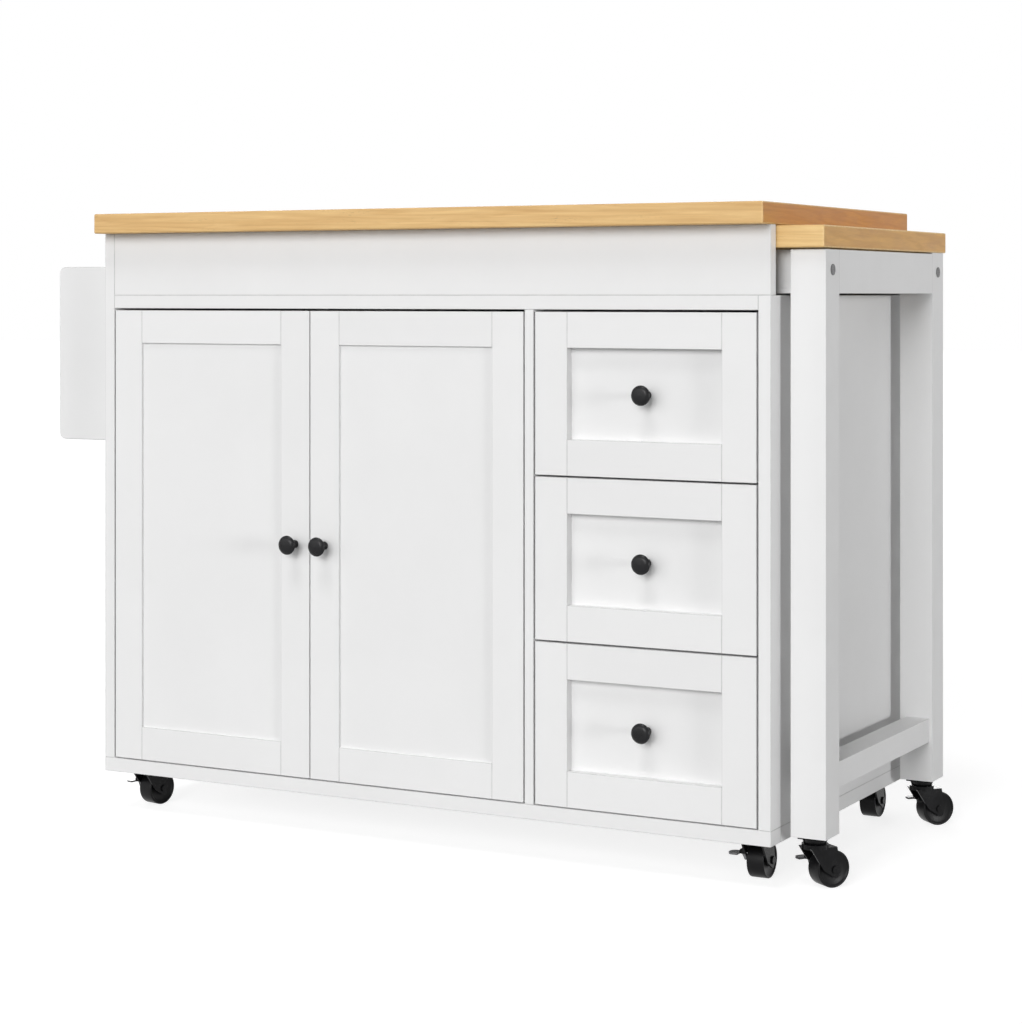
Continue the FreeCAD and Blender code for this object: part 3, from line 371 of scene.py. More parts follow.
def make_piece(
    name: str,
    parts: list[Surface],
    material: Material,
    body: str,
    replaced: tuple[str, ...] = (),
    smooth: bool = False,
) -> Object:
    """A finished piece of the scene that rides on a CAD body.

    Args:
        name: The piece's name.
        parts: Its closed skins.
        material: Its finish.
        body: The CAD body that it moves with.
        replaced: The CAD nodes that it stands for.
        smooth: True for turned pieces, whose faces blend into each other.

    Returns:
        The new object.
    """
    tones = np.random.default_rng(SEED + len(name)).uniform(-1, 1, len(parts))
    for part, tone in zip(parts, tones):
        part.marks["tone"] = np.full(len(part.faces), tone)
    skin = Surface.joined(parts)
    mesh = skin.mesh(name)
    for mark, values in skin.marks.items():
        attribute = mesh.attributes.new(mark, "FLOAT", "FACE")
        attribute.data.foreach_set("value", values.astype(np.float32))
    if smooth:
        mesh.polygons.foreach_set("use_smooth", np.ones(len(mesh.polygons), dtype=bool))
        mesh.set_sharp_from_angle(angle=SHARP_ANGLE)
    mesh.materials.append(material)
    piece = add_object(name, mesh)
    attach(piece, body)
    if replaced:
        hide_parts(*replaced)
    log.info("%s: %d faces on %s", name, len(mesh.polygons), body)
    return piece


def bore(piece: Object, holes: list[Surface]) -> None:
    """Cuts holes into a piece.

    Args:
        piece: The piece to cut.
        holes: Closed skins of what is taken away.
    """
    cutter = add_object("holes", Surface.joined(holes).mesh("holes"))
    cut = piece.modifiers.new("bores", "BOOLEAN")
    cut.operation = "DIFFERENCE"
    cut.solver = "EXACT"
    cut.object = cutter
    bpy.context.view_layer.update()
    bored = bpy.data.meshes.new_from_object(piece.evaluated_get(bpy.context.evaluated_depsgraph_get()))
    piece.modifiers.remove(cut)
    piece.data = bored
    bpy.data.objects.remove(cutter)


def round_hole(centre: Point, axis: Axis, radius: float, depth: float) -> Surface:
    """The skin of a blind hole.

    Args:
        centre: Middle of the hole's mouth.
        axis: The axis along which it is drilled.
        radius: Its radius.
        depth: Its depth, below zero where it goes towards lower places.

    Returns:
        A cylinder that also stands a little out of the mouth.
    """
    way = np.zeros(3)
    way[axis.value] = math.copysign(1, depth)
    profile = np.array([(radius, -HOLE_OVERRUN), (radius, abs(depth))])
    return turned(profile, np.array(centre), way, HOLE_STEPS)


# Finishes


class Graph:
    """The node tree of a material or of the sky."""

    def __init__(self, owner: Material | bpy.types.World, shader: str = "Principled BSDF") -> None:
        """Turns the owner's nodes on and finds its shader and the piece's own coordinates."""
        owner.use_nodes = True
        self.owner = owner
        self.nodes = owner.node_tree.nodes
        self.shader = self.nodes[shader]
        self.place = self.add("ShaderNodeTexCoord").outputs["Object"]

    def add(self, kind: str, settings: dict[str, object] | None = None, **inputs: object) -> bpy.types.Node:
        """A new node.

        Args:
            kind: Blender's name of the node type.
            settings: Properties of the node itself.
            inputs: Sockets by name, with _ for a space: a value, or another node's output to link.

        Returns:
            The node.
        """
        made = self.nodes.new(kind)
        for name, value in (settings or {}).items():
            setattr(made, name, value)
        for name, value in inputs.items():
            self.feed(made.inputs[name.replace("_", " ")], value)
        return made

    def feed(self, socket: Socket, value: object) -> None:
        """Links an output to a socket, or sets the socket's own value."""
        if isinstance(value, Socket):
            self.owner.node_tree.links.new(value, socket)
        else:
            socket.default_value = value

    def mark(self, name: str) -> Socket:
        """A number that the piece's faces carry."""
        return self.add("ShaderNodeAttribute", {"attribute_name": name}).outputs["Fac"]

    def seen_ray(self) -> Socket:
        """A number that is 1 for what the camera, a mirror or glass sees, and 0 for other light."""
        path = self.add("ShaderNodeLightPath").outputs
        seen = self.math("MAXIMUM", path["Is Camera Ray"], path["Is Glossy Ray"])
        return self.math("MAXIMUM", seen, path["Is Transmission Ray"])

    def math(self, operation: str, *values: object) -> Socket:
        """One sum of numbers or sockets."""
        made = self.add("ShaderNodeMath", {"operation": operation})
        for socket, value in zip(made.inputs, values):
            self.feed(socket, value)
        return made.outputs["Value"]

    def vector(self, operation: str, first: Socket, second: object) -> Socket:
        """One sum of vectors."""
        made = self.add("ShaderNodeVectorMath", {"operation": operation})
        for socket, value in zip(made.inputs, (first, second)):
            self.feed(socket, value)
        return made.outputs["Vector"]

    def stretched(self, scale: Point, start: Socket | None = None) -> Socket:
        """The piece's coordinates, moved by a start and multiplied along each axis."""
        place = self.place if start is None else self.vector("ADD", self.place, start)
        return self.vector("MULTIPLY", place, scale)

    def noise(
        self, place: Socket, scale: float, detail: float = 3, roughness: float = 0.55, swirl: float = 0.0
    ) -> Socket:
        """A noise from 0 to 1."""
        made = self.add("ShaderNodeTexNoise", Vector=place, Scale=scale, Detail=detail, Roughness=roughness)
        made.inputs["Distortion"].default_value = swirl
        return made.outputs["Fac"]

    def rings(self, place: Socket, bend: float) -> Socket:
        """Growth rings from 0 to 1, as bands across all three axes that a noise bends."""
        settings = {"bands_direction": "DIAGONAL"}
        made = self.add("ShaderNodeTexWave", settings, Vector=place, Scale=1.0, Distortion=bend, Detail=2.0)
        return made.outputs["Fac"]

    def remap(self, value: Socket, low: float, high: float, to_low: float, to_high: float) -> Socket:
        """A number stretched from one range to another, and held inside it."""
        made = self.add("ShaderNodeMapRange", Value=value)
        for name, number in (("From Min", low), ("From Max", high), ("To Min", to_low), ("To Max", to_high)):
            made.inputs[name].default_value = number
        return made.outputs["Result"]

    def spread(self, noise: Socket, to_low: float, to_high: float) -> Socket:
        """A noise, which lies mostly between 0.3 and 0.7, stretched to another range."""
        return self.remap(noise, 0.3, 0.7, to_low, to_high)

    def blend(self, kind: str, share: object, first: object, second: object) -> Socket:
        """Two colours mixed.

        Args:
            kind: Blender's name of the way to mix.
            share: How much of the second colour shows, from 0 to 1.
            first: The colour underneath.
            second: The colour on top.

        Returns:
            The mixed colour.
        """
        made = self.add("ShaderNodeMix", {"data_type": "RGBA", "blend_type": kind})
        for index, value in ((0, share), (6, first), (7, second)):
            self.feed(made.inputs[index], value)
        return made.outputs[2]

    def tinted(self, colour: Colour, tone: Socket) -> Socket:
        """A plain colour multiplied by a tone."""
        return self.blend("MULTIPLY", 1.0, (*colour, 1), tone)

    def ramp(self, value: Socket, stops: list[tuple[float, Colour]]) -> Socket:
        """A colour ramp through stops of (place, colour)."""
        made = self.add("ShaderNodeValToRGB", Fac=value)
        elements = made.color_ramp.elements
        while len(elements) < len(stops):
            elements.new(0.5)
        for element, (place, colour) in zip(elements, stops):
            element.position = place
            element.color = (*colour, 1)
        return made.outputs["Color"]

    def bump(self, height: Socket, depth: float, strength: float) -> None:
        """Lets a height from 0 to 1 tilt the surface, over a depth in metres."""
        made = self.add("ShaderNodeBump", Height=height, Distance=depth, Strength=strength)
        self.feed(self.shader.inputs["Normal"], made.outputs["Normal"])

    def finish(self, **inputs: object) -> Material | bpy.types.World:
        """Sets the shader's sockets and gives the owner back."""
        for name, value in inputs.items():
            self.feed(self.shader.inputs[name.replace("_", " ")], value)
        return self.owner


@dataclass(frozen=True)
class Paint:
    """Sprayed white paint over board: a faint mottle and a fine orange peel.

    The eased edges are darker, partly from wear and partly as painted shade of the hairline grooves between
    boards. The reveals round a recessed panel are darkened as painted shade of the recess.
    """

    name: str = "white_paint"
    colour: Colour = (0.80, 0.80, 0.80)
    edge_wear_and_shade_colour: Colour = (0.55, 0.55, 0.55)
    board_spread: float = 0.012
    reveal_painted_shade: float = 0.74
    mottle_scale: float = 7
    mottle_tones: tuple[float, float] = (0.975, 1.0)
    wear_and_shade_scale: float = 60
    wear_and_shade_shares: tuple[float, float] = (0.6, 1.0)
    peel_scale: float = 520
    peel_depth: float = 0.06 * MM
    sheen_scale: float = 35
    sheen: tuple[float, float] = (0.37, 0.48)

    def material(self) -> Material:
        """Builds the paint."""
        graph = Graph(bpy.data.materials.new(self.name))
        mottle = graph.spread(graph.noise(graph.place, self.mottle_scale, 4), *self.mottle_tones)
        tone = graph.math("MULTIPLY_ADD", graph.mark("tone"), self.board_spread, mottle)
        # Painted shade: the reveal faces round a recessed panel are darkened to stand in for the shade inside
        # the recess
        reveal = graph.remap(graph.mark("reveal"), 0.0, 1.0, 1.0, self.reveal_painted_shade)
        colour = graph.tinted(self.colour, graph.math("MULTIPLY", tone, reveal))
        # Eased edges are mixed towards a darker grey: partly wear, partly painted shade of the hairline grooves
        # where boards meet
        wear_and_shade = graph.spread(graph.noise(graph.place, self.wear_and_shade_scale), *self.wear_and_shade_shares)
        worn_and_shaded = graph.math("MULTIPLY", graph.mark("eased"), wear_and_shade)
        colour = graph.blend("MIX", worn_and_shaded, colour, (*self.edge_wear_and_shade_colour, 1))
        graph.bump(graph.noise(graph.place, self.peel_scale, 2), self.peel_depth, 0.5)
        sheen = graph.spread(graph.noise(graph.place, self.sheen_scale), *self.sheen)
        return graph.finish(Base_Color=colour, Roughness=sheen)


@dataclass(frozen=True)
class StraightGrain:
    """A straight grain in one colour: printed laminate, or the sawn softwood of hidden cleats.

    The relief is a depth in metres and a strength.
    """

    name: str
    colour: Colour
    stretch: Point
    scale: float
    tones: tuple[float, float]
    relief: tuple[float, float]
    sheen: tuple[float, float]

    def material(self) -> Material:
        """Builds the finish."""
        graph = Graph(bpy.data.materials.new(self.name))
        grain = graph.noise(graph.stretched(self.stretch), self.scale, 5)
        colour = graph.tinted(self.colour, graph.spread(grain, *self.tones))
        graph.bump(grain, *self.relief)
        return graph.finish(Base_Color=colour, Roughness=graph.spread(grain, *self.sheen))


@dataclass(frozen=True)
class Block:
    """Solid-wood slab of long staves glued side by side along X, with pores and darker ends.

    Each pair of stretches is for the long faces and for the ends. A higher number makes the pattern finer
    along that axis.
    """

    name: str
    tones: tuple[Colour, ...]
    end_tone: Colour
    streak: Colour = (0.84, 0.76, 0.66)
    line: Colour = (0.925, 0.885, 0.83)
    stave: float = 64 * MM
    figure: tuple[Point, Point] = ((3.6, 40.0, 48.0), (26.0, 3.4, 30.0))
    fibre: tuple[Point, Point] = ((14.0, 700.0, 700.0), (700.0, 40.0, 520.0))
    rings: tuple[Point, Point] = ((2.2, 40.0, 75.0), (0.0, 4.0, 46.0))
    figure_scale: float = 2.2
    ring_bends: tuple[float, float] = (11.0, 13.0)
    stave_starts: Point = (3.0, 3.0, 3.0)
    fibre_tones: tuple[float, float] = (0.95, 1.03)
    fibre_depth: float = 0.06 * MM
    pore_stretch: Point = (110.0, 900.0, 900.0)
    pore_group_stretch: Point = (9.0, 60.0, 60.0)
    pore_darkness: float = 0.34
    glue_tone: float = 0.80
    glue_half_widths: tuple[float, float] = (0.1 * MM, 0.5 * MM)
    sheen: tuple[float, float] = (0.42, 0.54)

    def material(self) -> Material:
        """Builds the timber."""
        graph = Graph(bpy.data.materials.new(self.name))
        axes = graph.add("ShaderNodeSeparateXYZ", Vector=graph.place)
        across = graph.math("DIVIDE", axes.outputs["Y"], self.stave)
        number = graph.math("FLOOR", across)
        chance = graph.add("ShaderNodeTexWhiteNoise", {"noise_dimensions": "1D"}, W=number)
        places = np.linspace(0.08, 0.92, len(self.tones))
        timber = graph.ramp(chance.outputs["Value"], list(zip(places, self.tones)))
        offset = graph.vector("MULTIPLY", chance.outputs["Color"], self.stave_starts)
        end = graph.mark("end")
        side = graph.math("SUBTRACT", 1.0, end)
        timber = graph.blend("MIX", end, timber, (*self.end_tone, 1))
        figure = self.both_ways(graph, end, self.figure, offset, self.figure_scale)
        fibre = self.both_ways(graph, end, self.fibre, offset, 1.0)
        long_rings = graph.rings(graph.stretched(self.rings[0], offset), self.ring_bends[0])
        end_rings = graph.rings(graph.stretched(self.rings[1]), self.ring_bends[1])
        rings = graph.blend("MIX", end, long_rings, end_rings)
        for grain, low, high, dark in ((figure, 0.3, 0.7, self.streak), (rings, 0.0, 0.6, self.line)):
            grain_colour = graph.ramp(grain, [(low, dark), (high, (1.0, 1.0, 1.0))])
            timber = graph.blend("MULTIPLY", 1.0, timber, grain_colour)
        fibre_tone = graph.remap(fibre, 0.35, 0.65, *self.fibre_tones)
        colour = graph.blend("MULTIPLY", 1.0, timber, fibre_tone)
        colour = graph.blend("MULTIPLY", side, colour, self.pores(graph))
        colour = graph.blend("MULTIPLY", side, colour, self.glue_lines(graph, across))
        graph.bump(fibre, self.fibre_depth, 0.5)
        return graph.finish(Base_Color=colour, Roughness=graph.spread(figure, *self.sheen))

    def both_ways(
        self, graph: Graph, end: Socket, stretches: tuple[Point, Point], offset: Socket, scale: float
    ) -> Socket:
        """A noise drawn out along X, or along Y on the slab's ends.

        Args:
            graph: The material's nodes.
            end: 1 on the slab's ends and 0 elsewhere.
            stretches: Stretch of the coordinates on the long faces and on the ends.
            offset: Where the noise starts in each stave.
            scale: The noise's scale after the stretch.

        Returns:
            The noise.
        """
        long_faces = graph.noise(graph.stretched(stretches[0], offset), scale, 5, 0.6, 0.7)
        ends = graph.noise(graph.stretched(stretches[1]), scale, 5, 0.55, 0.9)
        return graph.blend("MIX", end, long_faces, ends)

    def pores(self, graph: Graph) -> Socket:
        """A number under 1 on short flecks that lie in loose groups along the grain, and 1 elsewhere."""
        fleck = graph.noise(graph.stretched(self.pore_stretch), 1.0, 2)
        fleck = graph.remap(fleck, 0.60, 0.70, 0.0, 1.0)
        group = graph.noise(graph.stretched(self.pore_group_stretch), 1.0, 2)
        group = graph.remap(group, 0.52, 0.66, 0.0, self.pore_darkness)
        return graph.math("SUBTRACT", 1.0, graph.math("MULTIPLY", fleck, group))

    def glue_lines(self, graph: Graph, across: Socket) -> Socket:
        """A number that is a little under 1 on the glue lines between staves, and 1 elsewhere."""
        share = graph.math("FRACT", across)
        aside = graph.math("MINIMUM", share, graph.math("SUBTRACT", 1.0, share))
        core, rim = (width / self.stave for width in self.glue_half_widths)
        return graph.remap(aside, core, rim, self.glue_tone, 1.0)


@dataclass(frozen=True)
class Coating:
    """A coloured coat on metal or plastic: fine grain in the surface, and a sheen that varies a little."""

    name: str
    colour: Colour
    roughness: float
    gloss: float
    grain: float
    depth: float
    metallic: float = 0.0
    cloud_scale: float = 45
    cloud_tones: tuple[float, float] = (0.85, 1.1)
    sheen_spread: tuple[float, float] = (-0.06, 0.07)

    def material(self) -> Material:
        """Builds the coat."""
        graph = Graph(bpy.data.materials.new(self.name))
        cloud = graph.noise(graph.place, self.cloud_scale)
        colour = graph.tinted(self.colour, graph.spread(cloud, *self.cloud_tones))
        sheen = graph.spread(cloud, *(self.roughness + step for step in self.sheen_spread))
        graph.bump(graph.noise(graph.place, self.grain), self.depth, 0.5)
        graph.finish(Specular_IOR_Level=self.gloss, Metallic=self.metallic)
        return graph.finish(Base_Color=colour, Roughness=sheen)


@dataclass(frozen=True)
class Zinc:
    """Zinc-plated steel: a soft crystal pattern in colour and sheen."""

    name: str = "zinc_plate"
    colour: Colour = (0.52, 0.53, 0.55)
    crystal_scale: float = 420.0
    tones: tuple[float, float] = (0.86, 1.08)
    sheen: tuple[float, float] = (0.28, 0.42)
    grain: float = 900
    depth: float = 0.03 * MM

    def material(self) -> Material:
        """Builds the plating."""
        graph = Graph(bpy.data.materials.new(self.name))
        cells = graph.add("ShaderNodeTexVoronoi", Vector=graph.place, Scale=self.crystal_scale)
        chance = graph.add("ShaderNodeSeparateColor", Color=cells.outputs["Color"]).outputs["Red"]
        colour = graph.tinted(self.colour, graph.remap(chance, 0, 1, *self.tones))
        graph.bump(graph.noise(graph.place, self.grain, 2), self.depth, 0.4)
        sheen = graph.remap(chance, 0, 1, *self.sheen)
        return graph.finish(Base_Color=colour, Roughness=sheen, Metallic=1.0)


class Finishes:
    """All finishes of the island, built once."""

    def __init__(self) -> None:
        """Builds each material."""
        self.paint = Paint().material()
        self.zinc = Zinc().material()
        self.laminate = StraightGrain(
            "drawer_laminate",
            (0.78, 0.775, 0.75),
            stretch=(2.0, 40.0, 60.0),
            scale=3,
            tones=(0.95, 1.0),
            relief=(0.05 * MM, 0.4),
            sheen=(0.5, 0.62),
        ).material()
        self.cleat = StraightGrain(
            "cleat_timber",
            (0.55, 0.40, 0.23),
            stretch=(60.0, 4.0, 60.0),
            scale=2,
            tones=(0.78, 1.05),
            relief=(0.1 * MM, 0.5),
            sheen=(0.65, 0.65),
        ).material()
        self.top = Block(
            "butcher_block",
            ((0.690, 0.430, 0.174), (0.735, 0.480, 0.200), (0.775, 0.525, 0.230), (0.715, 0.455, 0.187)),
            (0.610, 0.278, 0.054),
        ).material()
        self.table = Block(
            "table_block",
            ((0.82, 0.570, 0.250), (0.85, 0.610, 0.280), (0.87, 0.635, 0.295), (0.84, 0.595, 0.265)),
            (0.730, 0.420, 0.128),
        ).material()
        # Name, colour, roughness, gloss, scale of the grain and its depth
        coats = (
            Coating("satin_black", (0.006, 0.006, 0.007), 0.30, 0.23, 900, 0.03 * MM),
            Coating("black_coated_steel", (0.005, 0.005, 0.0055), 0.24, 0.13, 700, 0.04 * MM),
            Coating("pedal_coat", (0.16, 0.16, 0.165), 0.36, 0.40, 600, 0.04 * MM, metallic=0.4),
            Coating("tread_rubber", (0.007, 0.007, 0.0075), 0.34, 0.13, 500, 0.06 * MM),
            Coating("bolt_steel", (0.13, 0.13, 0.132), 0.36, 0.40, 800, 0.03 * MM, metallic=0.6),
        )
        self.knob, self.steel, self.pedal, self.tread, self.bolt = [coat.material() for coat in coats]


# Sub-assemblies


def framed_front(box: Box, stile: float, edge: float) -> list[Surface]:
    """Two stiles and two rails between them, with the mark reveal on the stiles' inner faces.

    Args:
        box: The frame's outer size.
        stile: Width of the stiles and rails.
        edge: Radius of the eased edges.

    Returns:
        The left stile, the right stile, the lower rail and the upper rail.
    """
    inner = box.inside(Axis.X, stile)
    boards = box.ends(Axis.X, stile) + inner.ends(Axis.Z, stile)
    skins = [eased_board(board, edge) for board in boards]
    for skin, level in zip(skins, inner.span(Axis.X)):
        skin.mark_reveal(level)
    return skins


@dataclass
class Joinery:
    """A sub-assembly of painted boards that ride on one body."""

    finishes: Finishes
    edge: float = 0.7 * MM
    body: str = "cabinet"

    def paint_boards(self, name: str, boxes: list[Box], *nodes: str) -> Object:
        """Makes one painted piece of straight boards with eased edges, in place of CAD nodes."""
        skins = [eased_board(box, self.edge) for box in boxes]
        return make_piece(name, skins, self.finishes.paint, self.body, nodes)


@dataclass
class Carcass(Joinery):
    """The cabinet's boards: sides, divider, skirt, bottom, deck, aprons, back, shelf and countertop."""

    board: float = 18 * MM
    front_skirt: float = 34 * MM
    top_edge: float = 2 * MM
    hole_radius: float = 2.55 * MM
    hole_depth: float = 8 * MM
    hole_pitch: float = 32 * MM
    hole_rows: tuple[int, ...] = (-2, -1, 0, 1, 2)

    def build(self) -> None:
        """Builds every board."""
        self.build_top()
        self.build_sides()
        self.build_front()
        for node in ("bottom_panel", "back_panel"):
            self.plain_board(node)
        self.build_shelf()

    def plain_board(self, node: str) -> None:
        """Stands an eased board for a node that is one straight board."""
        self.paint_boards(f"{node}_board", [Box.of(node)], node)

    def build_top(self) -> None:
        """The countertop, a thick slab with round edges."""
        skin = eased_board(Box.of("countertop"), self.top_edge, Axis.X)
        make_piece("countertop_slab", [skin], self.finishes.top, self.body, ("countertop",))

    def build_shelf(self) -> None:
        """The adjustable shelf, in the drawers' laminate."""
        node = "adjustable_shelf"
        skin = eased_board(Box.of(node), self.edge)
        make_piece("shelf_board", [skin], self.finishes.laminate, self.body, (node,))

    def shelf_holes(self, x: float, depth: float) -> list[Surface]:
        """Two columns of holes for shelf pins.

        Args:
            x: Place of the board's face.
            depth: Depth of the holes, below zero towards the left.

        Returns:
            The skins of the holes.
        """
        pins = Box.of("shelf_pins").inside(Axis.Y, self.hole_radius)
        level = pins.middle(Axis.Z)
        return [
            round_hole((x, y, level + self.hole_pitch * row), Axis.X, self.hole_radius, depth)
            for y in pins.span(Axis.Y)
            for row in self.hole_rows
        ]

    def build_sides(self) -> None:
        """The two sides and the divider, with the holes for shelf pins."""
        left = Box.of("left_side_panel")
        board = self.paint_boards("left_side_board", [left], "left_side_panel")
        bore(board, self.shelf_holes(left.high[0], -self.hole_depth))
        self.plain_board("right_side_panel")
        divider = Box.of("centre_divider")
        bottom = Box.of("bottom_panel")
        inner = divider.cut(y=(bottom.low[1], divider.high[1]), z=(bottom.high[2], divider.high[2]))
        board = self.paint_boards("divider_board", [inner], "centre_divider")
        bore(board, self.shelf_holes(divider.low[0], self.hole_depth))
        front = divider.cut(y=(divider.low[1], bottom.low[1]))
        self.paint_boards("divider_front_strip", [front])

    def build_front(self) -> None:
        """The skirt strips, the deck and the aprons."""
        skirt = Box.of("skirt_strips")
        inside = (skirt.low[1] + self.front_skirt, skirt.high[1] - self.board)
        strips = [skirt.cut(y=(skirt.low[1], inside[0])), skirt.cut(y=(inside[1], skirt.high[1]))]
        strips += skirt.cut(y=inside).ends(Axis.X, self.board)
        self.paint_boards("skirt_boards", strips, "skirt_strips")
        self.plain_board("deck_panel")
        self.paint_boards("apron_boards", Box.of("aprons").ends(Axis.Y, self.board), "aprons")


@dataclass
class Rack(Joinery):
    """The rack on the left end: two plates, two shelves and a bar in front of each shelf."""

    edge: float = 0.9 * MM
    plate: float = 15 * MM
    corner: float = 10 * MM
    setback: float = 4 * MM
    shelf: float = 12 * MM
    shelf_rises: tuple[float, float] = (12 * MM, 142 * MM)
    bar: float = 10 * MM
    bar_height: float = 25 * MM
    bar_rise: float = 34 * MM

    def build(self) -> None:
        """Builds all boards of the rack as one piece."""
        box = Box.of("side_rack")
        corners = (self.edge, self.edge, self.corner, self.corner)
        plates = box.ends(Axis.Y, self.plate)
        parts = [eased_board(plate, self.edge, Axis.Y, corners) for plate in plates]
        inner = box.inside(Axis.Y, self.plate)
        outer = box.low[0] + self.setback
        for rise in self.shelf_rises:
            base = box.low[2] + rise
            shelf = inner.cut(x=(outer, box.high[0]), z=(base, base + self.shelf))
            low = base + self.shelf + self.bar_rise
            bar = inner.cut(x=(outer, outer + self.bar), z=(low, low + self.bar_height))
            parts += [eased_board(shelf, self.edge), eased_board(bar, self.edge)]
        make_piece("rack_boards", parts, self.finishes.paint, self.body, ("side_rack",))


@dataclass
class Doors:
    """The two doors' frames, with bores for the hinge cups."""

    finishes: Finishes
    edge: float = 0.6 * MM
    stile: float = 50 * MM
    cup_radius: float = 17.55 * MM
    cup_depth: float = 14 * MM

    def build(self) -> None:
        """Builds both doors."""
        for side in DOORS:
            self.build_door(side)

    def build_door(self, side: str) -> None:
        """One door.

        Args:
            side: left or right, which is the side of its hinges.
        """
        body = f"{side}_door"
        box = Box.of(f"{body}_frame")
        skins = framed_front(box, self.stile, self.edge)
        hinge_stile = skins.pop(DOORS.index(side))
        paint = self.finishes.paint
        make_piece(f"{body}_boards", skins, paint, body, (f"{body}_frame",))
        stile = make_piece(f"{body}_hinge_stile", [hinge_stile], paint, body)
        cups = Box.of(f"{body}_hinge_cups").inside(Axis.Z, self.cup_radius)
        mouths = [(cups.middle(Axis.X), box.high[1], level) for level in cups.span(Axis.Z)]
        bore(stile, [round_hole(mouth, Axis.Y, self.cup_radius, -self.cup_depth) for mouth in mouths])


@dataclass
class Drawers:
    """The three drawers: framed fronts over a backing panel, and boxes in laminate."""

    finishes: Finishes
    edge: float = 0.6 * MM
    stile: float = 50 * MM
    backing: float = 4 * MM
    wall: float = 12 * MM
    floor_rise: float = 10 * MM
    floor: float = 5 * MM

    def build(self) -> None:
        """Builds all drawers."""
        for name in DRAWERS:
            self.build_front(f"{name}_drawer")
            self.build_box(f"{name}_drawer")

    def build_front(self, body: str) -> None:
        """One drawer's framed front.

        Args:
            body: The drawer's CAD body.
        """
        box = Box.of(f"{body}_front")
        back = box.high[1] - self.backing
        skins = framed_front(box.cut(y=(box.low[1], back)), self.stile, self.edge)
        skins.append(eased_board(box.cut(y=(back, box.high[1])), self.edge))
        make_piece(f"{body}_boards", skins, self.finishes.paint, body, (f"{body}_front",))

    def build_box(self, body: str) -> None:
        """One drawer's box: two long sides, a front and a back between them, and a thin floor.

        Args:
            body: The drawer's CAD body.
        """
        box = Box.of(f"{body}_box")
        inner = box.inside(Axis.X, self.wall)
        base = box.low[2] + self.floor_rise
        boards = box.ends(Axis.X, self.wall)
        boards += inner.cut(z=(base + self.floor, box.high[2])).ends(Axis.Y, self.wall)
        boards.append(inner.cut(z=(base, base + self.floor)))
        skins = [eased_board(board, self.edge) for board in boards]
        make_piece(f"{body}_walls", skins, self.finishes.laminate, body, (f"{body}_box",))


@dataclass
class Knobs:
    """Turned mushroom knobs with a slightly domed face.

    The stem is rows of (radius, height over the seat) in mm. The head's underside and face are rows of (radius,
    depth below the middle of the face) in mm.
    """

    finishes: Finishes
    stem: Profile = ((6, 0), (6, 1.2), (6, 2.6), (4.4, 3.8), (4.4, 10))
    underside: Profile = ((4.4, 10.2), (6.6, 9.0), (11.6, 7.2), (14, 6.2))
    face: Profile = ((14, 4.4), (13.3, 3.2), (10.4, 1.2), (8, 0.5), (0.1, 0))
    steps: int = 64

    def build(self) -> None:
        """Builds a knob on each door and drawer."""
        for body in [f"{side}_door" for side in DOORS] + [f"{name}_drawer" for name in DRAWERS]:
            self.build_knob(body)

    def build_knob(self, body: str) -> None:
        """One knob, turned about an axis out of the front.

        Args:
            body: The CAD body that it moves with.
        """
        node = f"{body}_knob"
        box = Box.of(node)
        seat = np.array([box.middle(Axis.X), box.high[1], box.middle(Axis.Z)])
        length = box.high[1] - box.low[1]
        head = np.array(self.underside + self.face) * (MM, -MM) + (0, length)
        corners = np.concatenate([np.array(self.stem) * MM, head])
        skin = turned(smooth_profile(corners), seat, np.array([0.0, -1.0, 0.0]), self.steps)
        make_piece(f"{node}_turned", [skin], self.finishes.knob, body, (node,), smooth=True)


@dataclass
class PullOutTable(Joinery):
    """The table that slides out: its slab, two legs, rails, stretcher and connector bolts."""

    edge: float = 0.3 * MM
    body: str = "table"
    top_edge: float = 2 * MM
    leg: float = 50 * MM
    rail: float = 18 * MM
    rail_gap: float = 2.0 * MM
    joint_gap: float = 0.8 * MM
    bolt_radius: float = 7.6 * MM
    bolt_height: float = 1.2 * MM
    bolt_dome: float = 0.1

    def build(self) -> None:
        """Builds the table's pieces."""
        top = eased_board(Box.of("table_top"), self.top_edge, Axis.X)
        make_piece("table_slab", [top], self.finishes.table, self.body, ("table_top",))
        front, rear = Box.of("table_legs").ends(Axis.Y, self.leg)
        lowered = front.cut(z=(front.low[2], front.high[2] - self.rail_gap))
        self.paint_boards("leg_posts", [lowered, rear], "table_legs")
        self.build_rails(front, rear)
        bar = Box.of("table_stretcher").inside(Axis.Y, self.joint_gap)
        self.paint_boards("stretcher_bar", [bar], "table_stretcher")
        self.build_bolts(front, rear)

    def build_rails(self, front: Box, rear: Box) -> None:
        """The two side rails behind the legs, the cross rail and the end apron, with a shadow gap all along.

        Args:
            front: The front leg.
            rear: The rear leg.
        """
        box = Box.of("table_rails").inside(Axis.Z, self.rail_gap)
        half = self.rail / 2
        middles = [leg.middle(Axis.Y) for leg in (front, rear)]
        behind = box.cut(x=(box.low[0], front.low[0]))
        boards = [behind.cut(y=(middle - half, middle + half)) for middle in middles]
        boards += [
            box.cut(x=(box.low[0], box.low[0] + self.rail), y=(middles[0] + half, middles[1] - half)),
            box.cut(x=(front.high[0] - self.rail, front.high[0]), y=(front.high[1], rear.low[1])),
        ]
        self.paint_boards("table_rail_boards", boards, "table_rails")

    def build_bolts(self, *legs: Box) -> None:
        """The heads of the connector bolts on the legs' outer faces.

        Args:
            legs: The two legs.
        """
        node = "table_leg_bolts"
        level = Box.of(node).middle(Axis.Z)
        out = np.array([1.0, 0.0, 0.0])
        size = (self.bolt_radius, self.bolt_height, self.bolt_dome)
        seats = [np.array([leg.high[0], leg.middle(Axis.Y), level]) for leg in legs]
        heads = [recessed_head(seat, out, *size) for seat in seats]
        make_piece("bolt_heads", heads, self.finishes.bolt, self.body, (node,), smooth=True)


